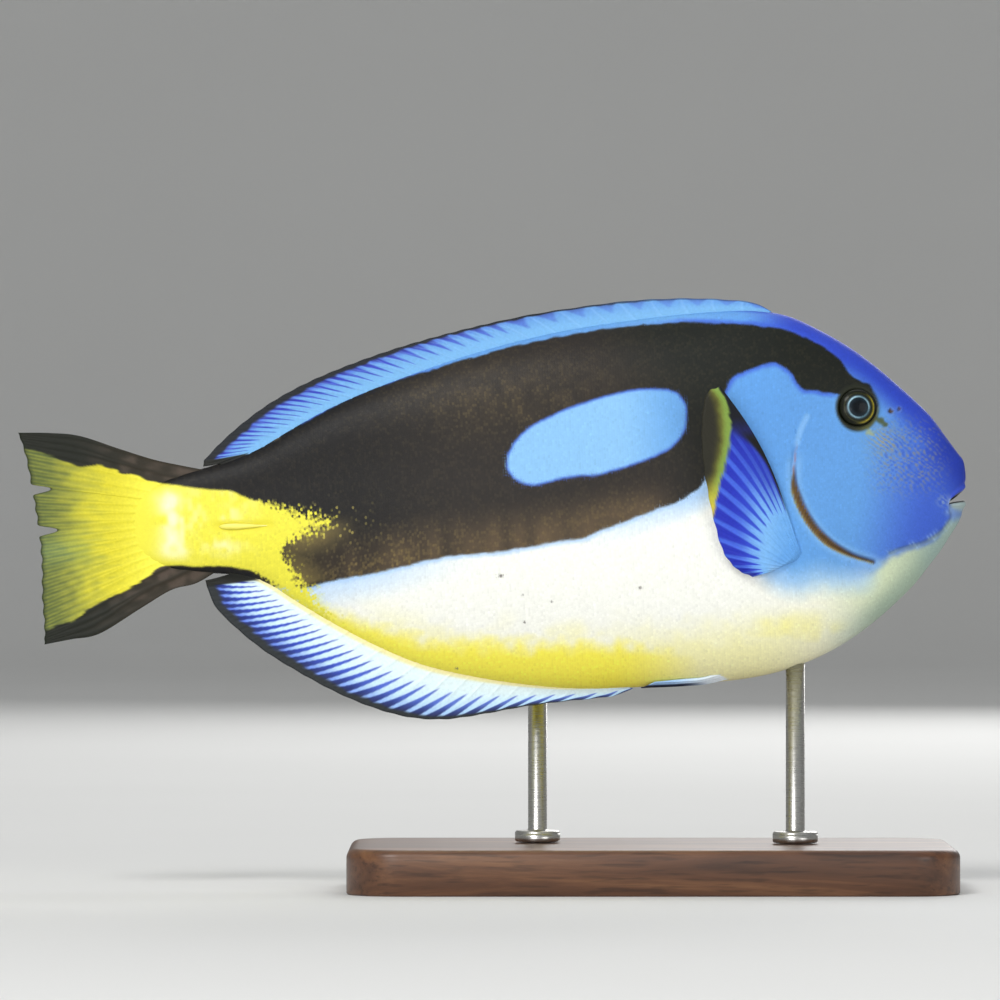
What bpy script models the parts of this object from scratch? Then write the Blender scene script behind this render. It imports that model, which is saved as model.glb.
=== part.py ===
"""A regal blue tang, life size, swimming level on a display stand.

The fish is drawn in its own frame: behind is the distance behind the tip of
the snout, up is the height above its axis, and side is the distance from its
mid plane. Tables are in millimetres and MM turns them into metres. The snout
points to +X and the fish's right side faces -Y.
"""
import math

import bmesh
import bpy
import numpy as np
from mathutils import Vector
from mathutils.bvhtree import BVHTree

MM = 0.001

# Driving dimensions: the pose and the stand
SNOUT_X = 125.1 * MM
SNOUT_Z = 107.0 * MM
NOSE_UP = math.radians(3.0)
GAP = 0.3 * MM
BASE_LENGTH = 160 * MM
BASE_WIDTH = 84 * MM
BASE_HEIGHT = 12 * MM
BASE_CENTRE_X = 42 * MM
BASE_CORNER = 14 * MM
BASE_BEVEL = 2.5 * MM
ROD_RADIUS = 2.5 * MM
COLLAR_RADIUS = 6 * MM
COLLAR_HEIGHT = 3 * MM
FRONT_ROD_X = 80 * MM
REAR_ROD_X = 12 * MM
REAR_ROD_SIDE = 7.5 * MM

# Rings of the body from the inside of the mouth to the end of the tail stalk.
# Each ring has a back point, a side point and a belly point:
# (back behind, back up, side behind, side up, half width, belly behind, belly up,
#  sharpness of the back, sharpness of the belly)
MOUTH_RINGS = (
    (5.2, -4.7, 6.4, -5.2, 2.2, 5.2, -5.15, 1.0, 1.0),
    (2.0, -3.85, 6.1, -5.3, 3.6, 2.3, -4.6, 1.0, 1.0),
    (0.9, -3.3, 5.6, -5.3, 4.3, 1.1, -4.3, 1.0, 1.0),
    (0.25, -2.8, 5.2, -5.3, 4.7, 0.5, -4.7, 1.0, 1.0),
    (0.05, -2.0, 5.0, -5.2, 5.0, 0.5, -5.7, 1.0, 1.0),
    (0.4, -1.0, 5.5, -5.0, 5.0, 1.3, -7.0, 1.0, 1.0),
)
BODY_RINGS = (
    (0.0, 1.8, 6.6, -4.2, 5.7, 1.9, -8.9, 1.0, 1.0),
    (0.3, 6.0, 8.0, -3.2, 6.6, 3.3, -11.3, 0.97, 1.0),
    (1.9, 8.6, 10.0, -2.4, 7.6, 5.2, -13.9, 0.95, 1.0),
    (4.6, 12.7, 12.5, -1.8, 8.8, 7.6, -17.3, 0.93, 1.0),
    (8.0, 17.9, 15.5, -1.5, 10.0, 10.6, -20.8, 0.92, 1.0),
    (12.0, 22.4, 19.0, -1.5, 11.2, 14.6, -25.4, 0.92, 1.0),
    (16.8, 27.2, 23.0, -1.6, 12.4, 19.2, -29.6, 0.93, 1.0),
    (22.4, 32.5, 27.8, -1.8, 13.5, 24.6, -34.0, 0.95, 1.0),
    (29.0, 37.8, 33.4, -2.1, 14.6, 30.6, -38.2, 0.98, 1.0),
    (36.6, 42.7, 39.6, -2.5, 15.6, 37.4, -42.0, 1.02, 1.0),
    (45.0, 46.9, 46.6, -3.0, 16.5, 45.2, -45.1, 1.06, 1.0),
    (54.0, 48.7, 54.5, -3.4, 17.0, 54.0, -47.4, 1.10, 1.0),
    (64.0, 49.0, 64.0, -3.7, 17.0, 64.0, -48.6, 1.12, 1.0),
    (76.0, 48.6, 76.0, -3.9, 16.6, 76.0, -48.9, 1.13, 1.03),
    (90.0, 47.6, 90.0, -3.8, 15.8, 90.0, -49.1, 1.14, 1.08),
    (104.0, 46.1, 104.0, -3.5, 14.8, 104.0, -48.9, 1.15, 1.12),
    (118.0, 43.7, 118.0, -3.0, 13.5, 118.0, -47.2, 1.15, 1.15),
    (132.0, 40.4, 132.0, -2.4, 12.0, 132.0, -44.4, 1.15, 1.16),
    (146.0, 36.4, 146.0, -1.8, 10.4, 146.0, -40.4, 1.15, 1.16),
    (158.0, 32.5, 158.0, -1.2, 8.9, 158.0, -34.7, 1.14, 1.15),
    (169.0, 28.1, 169.0, -0.7, 7.6, 169.0, -28.2, 1.12, 1.13),
    (178.0, 23.6, 178.0, -0.3, 6.5, 178.0, -22.2, 1.10, 1.11),
    (185.5, 19.6, 185.5, 0.0, 5.7, 185.5, -16.9, 1.08, 1.09),
    (192.5, 16.9, 192.5, 0.2, 5.1, 192.5, -14.2, 1.06, 1.07),
    (199.5, 15.0, 199.5, 0.4, 4.5, 199.5, -13.2, 1.04, 1.05),
    (205.5, 13.6, 205.5, 0.4, 3.9, 205.5, -12.4, 1.02, 1.03),
    (210.0, 12.4, 210.0, 0.4, 3.3, 210.0, -11.6, 1.0, 1.0),
)
THROAT_POINT = (7.5, -5.2)
RING_POINTS = 52
# Rings drawn in each interval of BODY_RINGS, denser on the head
HEAD_INTERVALS = 11
RINGS_ON_HEAD = 2
RINGS_ON_TRUNK = 2

# The edge of the gill cover, where the head meets the trunk, from the nape down
GILL_LINE = (
    (47.5, 70), (46.6, 52), (46.2, 38), (45.2, 24), (44.2, 12.6), (45.4, 4),
    (44.4, -2), (41.4, -8.4), (36.8, -13.8), (31.4, -17.2), (25.6, -19.4),
    (20.6, -23.6), (15.0, -32), (8.0, -45),
)
GILL_SLIT_FIRST = 4
GILL_SLIT_LAST = 10
GILL_SLIT_RADIUS = 1.0
OPERCLE_RISE = 0.7
OPERCLE_REACH = 14.0
STALK_START = 189.0

# Eye, nostrils and the folding spine of the tail stalk
EYE_CENTRE = (27.4, 21.9)
EYE_RADIUS = 4.8
EYE_BULGE = 1.7
EYE_DEPTH = 3.0
ORBIT_RING = 0.6
NOSTRILS = ((18.9, 20.2, 0.65), (16.6, 20.6, 0.5))
SPINE_ROOT = (197.5, -0.9)
SPINE_TIP = (184.6, -1.3)
SPINE_HEIGHT = 2.0
SPINE_STANDS_OUT = 0.5

# Median fins: (behind, up) along the margin, from front to back
DORSAL_MARGIN = (
    (49.6, 49.9), (55, 51.1), (62, 52.1), (72, 52.9), (86, 53.0), (100, 52.0),
    (114, 50.5), (130, 47.8), (146, 44.3), (160, 40.3), (172, 36.0), (182, 31.2),
    (190, 26.0), (196, 21.2), (200.6, 16.8),
)
DORSAL_BASE = (49.5, 188.5)
DORSAL_SPINES = 9
DORSAL_RAYS = 20
DORSAL_SPINE_END = 0.46
ANAL_MARGIN = (
    (92.5, -51.0), (100, -51.5), (110, -51.9), (120, -52.7), (130, -54.0),
    (140, -54.9), (149, -54.1), (158, -51.4), (168, -46.8), (178, -40.8),
    (187, -34.6), (194, -28.4), (199.5, -22.2), (201.6, -16.6),
)
ANAL_BASE = (91.5, 187.5)
ANAL_SPINES = 3
ANAL_RAYS = 19
ANAL_SPINE_END = 0.16
ROOT_DEPTH = 2.5
MEMBRANE = 0.28
RAY_RIDGE = 0.4
FLESHY_BASE = 0.9

# Tail fin: outline of its hind margin from the upper tip to the lower tip
TAIL_TOP_EDGE = (
    (200.5, 14.2), (207, 15.8), (214, 17.7), (222.6, 20.9), (233, 24.9), (241, 26.1), (249.2, 26.6),
)
TAIL_BOTTOM_EDGE = (
    (198.5, -12.6), (204.5, -15.6), (211, -17.0), (219.5, -21.5), (230.5, -27.5), (238, -28.6),
    (245.2, -29.6),
)
TAIL_HIND_MARGIN = (
    (249.2, 26.6), (247.6, 20.5), (246.6, 13.0), (245.8, 6.0), (245.1, -1.5),
    (244.9, -9.0), (245.2, -17.0), (245.0, -24.0), (245.2, -29.6),
)
TAIL_RAYS = 17
TAIL_NICKS = (12.9, -1.4)
TAIL_NICK_DEPTH = 4.6
TAIL_ROOT = 207.5
TAIL_ROOT_HALF = 10.5

# Pectoral fin: root line and margin, from the top ray to the bottom ray
PECTORAL_ROOT = ((44.9, -14.4), (47.2, -17.6), (52.3, -20.4))
PECTORAL_MARGIN = (
    (63.6, 29.3), (67.2, 27.4), (68.8, 21.0), (69.2, 12.0), (68.4, 2.5),
    (67.0, -6.5), (65.0, -14.6), (61.6, -19.4), (57.6, -21.6),
)
PECTORAL_RAYS = 14
PECTORAL_FLARE = 0.17

# Pelvic fin: folded along the belly
PELVIC_ROOT = (61.5, 2.6)
PELVIC_TIP = (88.5, 2.2)
PELVIC_RAYS = 4

SKIN_BLUE = (0.10, 0.22, 0.62)
SKIN_DARK = (0.035, 0.032, 0.030)
SKIN_YELLOW = (0.90, 0.80, 0.10)
FIN_BLUE = (0.14, 0.34, 0.72)
FIN_WHITE = (0.55, 0.74, 0.92)
IRIS_DARK = (0.02, 0.02, 0.015)
SPINE_BONE = (0.85, 0.78, 0.35)
WALNUT = (0.13, 0.065, 0.035)
STEEL = (0.62, 0.62, 0.63)


def clear_scene():
    for old in list(bpy.data.objects):
        bpy.data.objects.remove(old)


def to_world(behind, up, side=0.0):
    """World place, in metres, of a point of the fish's own frame, in millimetres."""
    along = behind * math.cos(NOSE_UP) + up * math.sin(NOSE_UP)
    rise = up * math.cos(NOSE_UP) - behind * math.sin(NOSE_UP)
    return Vector((SNOUT_X - along * MM, side * MM, SNOUT_Z + rise * MM))


def smooth_through(points, places):
    """Catmull-Rom curve through the points, read at fractional indexes."""
    rows = np.asarray(points, float)
    rows = np.vstack([2 * rows[0] - rows[1], rows, 2 * rows[-1] - rows[-2]])
    last = len(points) - 1
    read = []
    for place in places:
        start = min(int(place), last - 1)
        t = place - start
        a, b, c, d = rows[start:start + 4]
        read.append(0.5 * (2 * b + (c - a) * t + (2 * a - 5 * b + 4 * c - d) * t ** 2
                           + (3 * b - a - 3 * c + d) * t ** 3))
    return np.array(read)


def curve_at(points, count):
    return smooth_through(points, np.linspace(0, len(points) - 1, count))


def height_on(dense, behind):
    """Height of a dense curve of (behind, up) points above one place of the axis."""
    return float(np.interp(behind, dense[:, 0], dense[:, 1]))


def ring_angles():
    """Angles round a ring, midway between equal angles and equal steps of arc."""
    even = np.linspace(0, 2 * math.pi, RING_POINTS, endpoint=False)
    dense = np.linspace(0, 2 * math.pi, 2001)
    step = np.hypot(np.diff(np.cos(dense)) * 0.4, np.diff(np.sin(dense)))
    arc = np.concatenate([[0], np.cumsum(step)])
    by_arc = np.interp(np.linspace(0, arc[-1], RING_POINTS, endpoint=False), arc, dense)
    return 0.5 * even + 0.5 * by_arc


def ring_points(ring, grow):
    """One ring of the body as (behind, up, side), grown outwards by grow millimetres."""
    back_x, back_z, side_x, side_z, half, belly_x, belly_z, back_sharp, belly_sharp = ring
    points = []
    for angle in ring_angles():
        rise, across = math.sin(angle), math.cos(angle)
        if rise >= 0:
            end_x, end_z, sharp = back_x, back_z + grow, back_sharp
        else:
            end_x, end_z, sharp = belly_x, belly_z - grow, belly_sharp
        width = (half + grow) * math.copysign(abs(across) ** sharp, across)
        points.append((side_x + (end_x - side_x) * rise ** 2,
                       side_z + (end_z - side_z) * abs(rise), width))
    return points


def body_rings():
    last = len(BODY_RINGS) - 1
    places = [k / RINGS_ON_HEAD for k in range(HEAD_INTERVALS * RINGS_ON_HEAD)]
    places += [k / RINGS_ON_TRUNK for k in
               range(HEAD_INTERVALS * RINGS_ON_TRUNK, last * RINGS_ON_TRUNK + 1)]
    return [*MOUTH_RINGS, *smooth_through(BODY_RINGS, places)]


def opercle_rise(behind, up):
    """How far the gill cover stands out over the trunk, fading towards the snout."""
    edge = np.interp(-up, [-z for _, z in GILL_LINE], [x for x, _ in GILL_LINE])
    ahead = (edge - behind) / OPERCLE_REACH
    if not 0 <= ahead < 1 or not -22 < up < 20:
        return 0.0
    return OPERCLE_RISE * (1 - ahead) ** 2 * math.cos(math.pi * (up + 1) / 42) ** 2


def make_mesh(name, points, faces):
    mesh = bpy.data.meshes.new(name)
    mesh.from_pydata([tuple(p) for p in points], [], faces)
    mesh.validate()
    body = bpy.data.objects.new(name, mesh)
    bpy.context.scene.collection.objects.link(body)
    return body


def loft_body(name, grow=0.0, with_opercle=False, from_mouth=True):
    """The whole body as one closed loft of rings, closed by a point at each end."""
    rings = body_rings()
    if not from_mouth:
        rings = rings[len(MOUTH_RINGS):]
    points = []
    for ring in rings:
        for behind, up, side in ring_points(ring, grow):
            if with_opercle:
                side += math.copysign(opercle_rise(behind, up), side)
            points.append(to_world(behind, up, side))
    faces = []
    for i in range(len(rings) - 1):
        for j in range(RING_POINTS):
            a = i * RING_POINTS + j
            b = i * RING_POINTS + (j + 1) % RING_POINTS
            faces.append((a, b, b + RING_POINTS, a + RING_POINTS))
    front = len(points)
    front_point = THROAT_POINT if from_mouth else (rings[0][0] - grow, rings[0][3])
    points.append(to_world(*front_point))
    points.append(to_world(rings[-1][0] + grow, rings[-1][3]))
    first_of_last = (len(rings) - 1) * RING_POINTS
    for j in range(RING_POINTS):
        k = (j + 1) % RING_POINTS
        faces.append((front, k, j))
        faces.append((front + 1, first_of_last + j, first_of_last + k))
    return face_outwards(make_mesh(name, points, faces))


def prism(name, outline, half_width=60):
    """A solid with a (behind, up) outline, straight across the fish."""
    count = len(outline)
    points = [to_world(x, z, side) for side in (-half_width, half_width) for x, z in outline]
    faces = [tuple(range(count)), tuple(range(2 * count - 1, count - 1, -1))]
    for j in range(count):
        k = (j + 1) % count
        faces.append((k, j, j + count, k + count))
    return make_mesh(name, points, faces)


def face_outwards(body):
    shape = bmesh.new()
    shape.from_mesh(body.data)
    bmesh.ops.recalc_face_normals(shape, faces=shape.faces)
    if shape.calc_volume(signed=True) < 0:
        bmesh.ops.reverse_faces(shape, faces=shape.faces)
    shape.to_mesh(body.data)
    shape.free()
    return body


def ahead_of_gills(name, shift):
    """Everything in front of the gill cover's edge, with the edge moved back by shift."""
    edge = [(x + shift, z) for x, z in curve_at(GILL_LINE, 40)]
    return face_outwards(prism(name, edge + [(-30, -60), (-30, 80)]))


def behind_plane(name, start):
    return face_outwards(prism(name, [(start, -90), (start, 90), (330, 90), (330, -90)]))


def boolean(body, cutter, operation="DIFFERENCE"):
    step = body.modifiers.new(operation.lower(), "BOOLEAN")
    step.operation = operation
    step.object = cutter
    step.solver = "EXACT"


def apply_all(body):
    """Applies the modifiers and keeps the largest closed surface."""
    graph = bpy.context.evaluated_depsgraph_get()
    made = bpy.data.meshes.new_from_object(body.evaluated_get(graph))
    body.modifiers.clear()
    shape = bmesh.new()
    shape.from_mesh(made)
    left, parts = set(shape.verts), []
    while left:
        stack, part = [left.pop()], []
        while stack:
            point = stack.pop()
            part.append(point)
            for edge in point.link_edges:
                other = edge.other_vert(point)
                if other in left:
                    left.remove(other)
                    stack.append(other)
        parts.append(part)
    parts.sort(key=len)
    for part in parts[:-1]:
        bmesh.ops.delete(shape, geom=part, context="VERTS")
    bmesh.ops.triangulate(shape, faces=shape.faces)
    if shape.calc_volume(signed=True) < 0:
        bmesh.ops.reverse_faces(shape, faces=shape.faces)
    shape.to_mesh(made)
    shape.free()
    made.name = body.name
    body.data = made
    return body


def cut_away(body, *cutters):
    for cutter in cutters:
        boolean(body, cutter)
        apply_all(body)
    return body


def union_of(name, pieces):
    """Joins closed pieces into one body with a single union on their collection."""
    group = bpy.data.collections.new(name + "_pieces")
    for piece in pieces[1:]:
        group.objects.link(piece)
    step = pieces[0].modifiers.new("join", "BOOLEAN")
    step.operation = "UNION"
    step.operand_type = "COLLECTION"
    step.collection = group
    step.solver = "EXACT"
    apply_all(pieces[0])
    for piece in pieces[1:]:
        bpy.data.objects.remove(piece)
    bpy.data.collections.remove(group)
    pieces[0].name = name
    return pieces[0]


class Flank:
    """Finds points on the fish's side by looking across it."""

    def __init__(self, body):
        graph = bpy.context.evaluated_depsgraph_get()
        self.tree = BVHTree.FromObject(body, graph)

    def at(self, behind, up, facing=-1):
        """Point and outward direction of the surface, on the side that facing names."""
        start = to_world(behind, up, facing * 80)
        point, normal, _, _ = self.tree.ray_cast(start, Vector((0, -facing, 0)))
        return point, normal

    def half_width(self, behind, up):
        return abs(self.at(behind, up)[0].y) / MM


def turned(name, profile, centre, direction, steps):
    """A body turned from (radius, height) points round an axis through centre."""
    axis = direction.normalized()
    across = axis.orthogonal().normalized()
    beyond = axis.cross(across)
    points, faces = [], []
    for radius, height in profile[1:-1]:
        for j in range(steps):
            angle = 2 * math.pi * j / steps
            points.append(centre + axis * height * MM
                          + (across * math.cos(angle) + beyond * math.sin(angle)) * radius * MM)
    for i in range(len(profile) - 3):
        for j in range(steps):
            a, b = i * steps + j, i * steps + (j + 1) % steps
            faces.append((a, b, b + steps, a + steps))
    low, high = len(points), len(points) + 1
    points += [centre + axis * profile[0][1] * MM, centre + axis * profile[-1][1] * MM]
    top = (len(profile) - 3) * steps
    for j in range(steps):
        k = (j + 1) % steps
        faces.append((low, k, j))
        faces.append((high, top + j, top + k))
    return face_outwards(make_mesh(name, points, faces))


def ring_tube(name, centre, direction, major, minor, steps=28, sides=8):
    """A closed ring, as the rim of the eye's socket."""
    axis = direction.normalized()
    across = axis.orthogonal().normalized()
    beyond = axis.cross(across)
    points, faces = [], []
    for i in range(steps):
        turn = 2 * math.pi * i / steps
        out = across * math.cos(turn) + beyond * math.sin(turn)
        for j in range(sides):
            roll = 2 * math.pi * j / sides
            points.append(centre + out * (major + minor * math.cos(roll)) * MM
                          + axis * minor * math.sin(roll) * MM)
    for i in range(steps):
        for j in range(sides):
            a, b = i * sides + j, i * sides + (j + 1) % sides
            c, d = ((i + 1) % steps) * sides + j, ((i + 1) % steps) * sides + (j + 1) % sides
            faces.append((a, b, d, c))
    return face_outwards(make_mesh(name, points, faces))


def tapered_tube(name, centres, radii, sides=8):
    """A tube along the centres that comes to a point at both ends."""
    points, faces = [], []
    for i, centre in enumerate(centres[1:-1], 1):
        along = (centres[i + 1] - centres[i - 1]).normalized()
        across = along.orthogonal().normalized()
        if across.y < 0:
            across.negate()
        beyond = along.cross(across)
        for j in range(sides):
            angle = 2 * math.pi * j / sides
            points.append(centre + (across * math.cos(angle) + beyond * math.sin(angle)) * radii[i])
    rings = len(centres) - 2
    for i in range(rings - 1):
        for j in range(sides):
            a, b = i * sides + j, i * sides + (j + 1) % sides
            faces.append((a, b, b + sides, a + sides))
    low, high = len(points), len(points) + 1
    points += [centres[0], centres[-1]]
    for j in range(sides):
        k = (j + 1) % sides
        faces.append((low, k, j))
        faces.append((high, (rings - 1) * sides + j, (rings - 1) * sides + k))
    return face_outwards(make_mesh(name, points, faces))


def gill_slit(name, flank, facing):
    """Cutter for the open part of the gill cover's edge, widest below the middle."""
    places = np.linspace(GILL_SLIT_FIRST, GILL_SLIT_LAST, 15)
    line = smooth_through(GILL_LINE, places)
    centres = [flank.at(x, z, facing)[0] for x, z in line]
    share = np.linspace(0, 1, len(line))
    radii = GILL_SLIT_RADIUS * MM * np.sin(math.pi * share ** 0.8) ** 0.7
    return tapered_tube(name, centres, [max(r, 0.05 * MM) for r in radii])


def eye_frame(flank, facing):
    """Centre of the eye on the skin and the way that it looks, a little forward."""
    point, normal = flank.at(*EYE_CENTRE, facing)
    look = (normal + Vector((0.10, facing * 1.2, 0.0))).normalized()
    return point, look


def make_eye(name, flank, facing):
    """The eyeball's outer part: a dome over a short drum."""
    point, look = eye_frame(flank, facing)
    dome = [(EYE_RADIUS * math.cos(a), EYE_BULGE * math.sin(a))
            for a in np.radians([0, 18, 36, 54, 72])]
    profile = [(0, -EYE_DEPTH), (EYE_RADIUS, -EYE_DEPTH), *dome, (0, EYE_BULGE)]
    return turned(name, profile, point, look, 28)


def eye_socket(name, flank, facing):
    point, look = eye_frame(flank, facing)
    wide = EYE_RADIUS + GAP / MM
    profile = [(0, -EYE_DEPTH - GAP / MM), (wide, -EYE_DEPTH - GAP / MM), (wide, 6), (0, 6)]
    return turned(name, profile, point, look, 28)


def nostril_pit(name, flank, facing, spot):
    behind, up, radius = spot
    point, normal = flank.at(behind, up, facing)
    profile = [(0, -1.3 * radius), (0.7 * radius, -radius), (radius, 0),
               (1.2 * radius, radius), (0, radius)]
    return turned(name, profile, point, normal, 8)


def spine_outline(grow):
    """The folded spine of the tail stalk: round at its root and sharp in front."""
    (x0, z0), (x1, z1) = SPINE_ROOT, SPINE_TIP
    half = SPINE_HEIGHT / 2
    shares = (0.0, 0.12, 0.35, 0.7, 1.0)
    halves = (0.45, 0.85, 1.0, 0.62, 0.12)
    upper = [(x0 + (x1 - x0) * s, z0 + (z1 - z0) * s + half * h + grow)
             for s, h in zip(shares, halves)]
    lower = [(x0 + (x1 - x0) * s, z0 + (z1 - z0) * s - half * h - grow)
             for s, h in zip(shares, halves)]
    upper[0] = (upper[0][0] + grow, upper[0][1])
    lower[0] = (lower[0][0] + grow, lower[0][1])
    upper[-1] = (upper[-1][0] - grow, upper[-1][1])
    lower[-1] = (lower[-1][0] - grow, lower[-1][1])
    return upper + lower[::-1]


def spine_solid(name, flank, facing, grow, inner, outer):
    """The spine between two depths under and over the skin, measured at its place."""
    outline = spine_outline(grow)
    points = []
    for depth in (inner, outer):
        for x, z in outline:
            skin = flank.half_width(x, z)
            points.append(to_world(x, z, facing * (skin + depth)))
    count = len(outline)
    faces = [tuple(range(count)), tuple(range(2 * count - 1, count - 1, -1))]
    for j in range(count):
        k = (j + 1) % count
        faces.append((k, j, j + count, k + count))
    solid = make_mesh(name, points, faces)
    shape = bmesh.new()
    shape.from_mesh(solid.data)
    bmesh.ops.triangulate(shape, faces=shape.faces)
    shape.to_mesh(solid.data)
    shape.free()
    return face_outwards(solid)


def fin_sheet(name, middle, half, across):
    """A closed fin from a grid of middle points, half thicknesses and across
    directions. Both faces are split into triangles along the same diagonals."""
    rows, columns = len(middle), len(middle[0])
    points = []
    for sign in (-1, 1):
        for i in range(rows):
            for j in range(columns):
                points.append(middle[i][j] + across[i][j] * sign * half[i][j])
    size = rows * columns
    faces = []
    for i in range(rows - 1):
        for j in range(columns - 1):
            a, b = i * columns + j, i * columns + j + 1
            c, d = a + columns, b + columns
            faces += [(a, b, d), (a, d, c)]
            faces += [(a + size, d + size, b + size), (a + size, c + size, d + size)]
    rim = [(i * columns, (i + 1) * columns) for i in range(rows - 1)]
    rim += [((rows - 1) * columns + j, (rows - 1) * columns + j + 1) for j in range(columns - 1)]
    rim += [((i + 1) * columns + columns - 1, i * columns + columns - 1)
            for i in range(rows - 1)]
    rim += [(j + 1, j) for j in range(columns - 1)]
    for a, b in rim:
        faces += [(a, b, b + size), (a, b + size, a + size)]
    return face_outwards(make_mesh(name, points, faces))


def ray_thickness(share, on_ray, base):
    """Half thickness of a fin, share of the way from root to margin."""
    fleshy = base * max(0.0, 1 - share / 0.45) ** 2
    ridge = RAY_RIDGE * (1 - 0.4 * share) if on_ray else 0.0
    return (MEMBRANE - 0.03 * share + ridge + fleshy) * MM


def median_fin(name, base, margin, spines, rays, spine_end, sign, body_edge):
    """A fin along the back (sign 1) or the belly (sign -1), with swept rays.

    Every second column of the grid is a ray and stands out as a ridge."""
    start, end = base
    split = start + (end - start) * spine_end
    feet = [start + (split - start) * k / spines for k in range(spines)]
    feet += [split + (end - split) * k / (rays - 1) for k in range(rays)]
    shares = (np.array(feet) - start) / (end - start)
    edge_shares = np.linspace(0, 1, 400)
    edge = curve_at(margin, 400)
    length = np.concatenate([[0], np.cumsum(np.hypot(*np.diff(edge, axis=0).T))])
    edge_shares = length / length[-1]
    columns = []
    for k in range(2 * len(feet) - 1):
        share = shares[k // 2] if k % 2 == 0 else (shares[k // 2] + shares[k // 2 + 1]) / 2
        foot = start + (end - start) * share
        tip = (np.interp(share, edge_shares, edge[:, 0]), np.interp(share, edge_shares, edge[:, 1]))
        if k % 2:
            tip = (tip[0], tip[1] - sign * 0.25)
        columns.append((foot, tip, k % 2 == 0))
    depths = (-1.0, 0.0, 0.25, 0.5, 0.75, 1.0)
    middle, half, across = [], [], []
    for depth in depths:
        row, thick = [], []
        for foot, tip, on_ray in columns:
            ground = height_on(body_edge, foot)
            share = max(depth, 0.0)
            if depth < 0:
                x, z = foot, ground - sign * ROOT_DEPTH
            else:
                x = foot + (tip[0] - foot) * share
                z = ground + (tip[1] - ground) * share
            row.append(to_world(x, z))
            thick.append(ray_thickness(share, on_ray, FLESHY_BASE))
        middle.append(row)
        half.append(thick)
        across.append([Vector((0, 1, 0))] * len(row))
    return fin_sheet(name, middle, half, across)


def tail_fin(name):
    """The fan of the tail fin. Its top and bottom edges run on past the stalk's end."""
    rows = 9
    top = curve_at(TAIL_TOP_EDGE, rows)
    bottom = curve_at(TAIL_BOTTOM_EDGE, rows)
    margin = curve_at(TAIL_HIND_MARGIN, 2 * TAIL_RAYS - 1)
    count = len(margin)
    for nick in TAIL_NICKS:
        torn = 1 + 2 * int(np.argmin(abs(margin[1::2, 1] - nick)))
        margin[torn, 0] -= TAIL_NICK_DEPTH
    middle, half, across = [], [], []
    for i in range(rows):
        share = i / (rows - 1)
        row, thick = [], []
        for k in range(count):
            level = 1 - 2 * k / (count - 1)
            root = np.array([TAIL_ROOT, TAIL_ROOT_HALF * level + 0.4])
            if k == 0:
                place = top[i]
            elif k == count - 1:
                place = bottom[i]
            else:
                straight = root + (margin[k] - root) * share
                edge = top[i] if level > 0 else bottom[i]
                rim = abs(level) ** 6
                place = straight * (1 - rim) + edge * rim
            row.append(to_world(*place))
            on_ray = k % 2 == 0
            thick.append(ray_thickness(share, on_ray, 1.3))
        middle.append(row)
        half.append(thick)
        across.append([Vector((0, 1, 0))] * count)
    return fin_sheet(name, middle, half, across)


def pectoral_fin(name, flank, facing):
    """A fan that stands a little off the flank, root sunk in the body."""
    count = 2 * PECTORAL_RAYS - 1
    root = curve_at(PECTORAL_ROOT, count)
    margin = curve_at(PECTORAL_MARGIN, count)
    depths = (-0.06, 0.0, 0.25, 0.5, 0.75, 1.0)
    middle, half, across = [], [], []
    for depth in depths:
        row, thick, way = [], [], []
        for k in range(count):
            run = margin[k] - root[k]
            place = root[k] + run * max(depth, 0.0)
            reach = float(np.hypot(*run)) * max(depth, 0.0)
            skin = flank.half_width(*root[k])
            camber = 2.2 * math.sin(math.pi * max(depth, 0.0))
            side = skin + 0.2 + PECTORAL_FLARE * reach + camber * (k / count)
            if depth < 0:
                side = skin - 2.0
                place = root[k] - run / np.hypot(*run) * 0.6
            row.append(to_world(place[0], place[1], facing * side))
            thick.append(ray_thickness(max(depth, 0.0), k % 2 == 0, 0.5))
            way.append(Vector((0, 1, 0)))
        middle.append(row)
        half.append(thick)
        across.append(way)
    return fin_sheet(name, middle, half, across)


def pelvic_fin(name, belly_edge, facing):
    """A narrow folded fin that lies along the belly beside the mid line."""
    count = 2 * PELVIC_RAYS - 1
    depths = (-0.05, 0.0, 0.33, 0.66, 1.0)
    middle, half, across = [], [], []
    for depth in depths:
        row, thick = [], []
        for k in range(count):
            spread = k / (count - 1)
            share = max(depth, 0.0)
            reach = 1.0 - 0.25 * spread
            x = PELVIC_ROOT[0] + 3.2 * spread + (PELVIC_TIP[0] - PELVIC_ROOT[0]) * share * reach
            belly = height_on(belly_edge, x)
            side = PELVIC_ROOT[1] + 2.2 * spread
            lift = 0.16 * (side ** 2) / 2
            z = belly + lift - (0.9 if depth >= 0 else -1.6)
            row.append(to_world(x, z, facing * side))
            thick.append((0.32 + (0.18 if k % 2 == 0 else 0.0) * (1 - share)) * MM)
        middle.append(row)
        half.append(thick)
        across.append([Vector((0, 0, 1))] * count)
    return fin_sheet(name, middle, half, across)


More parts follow.
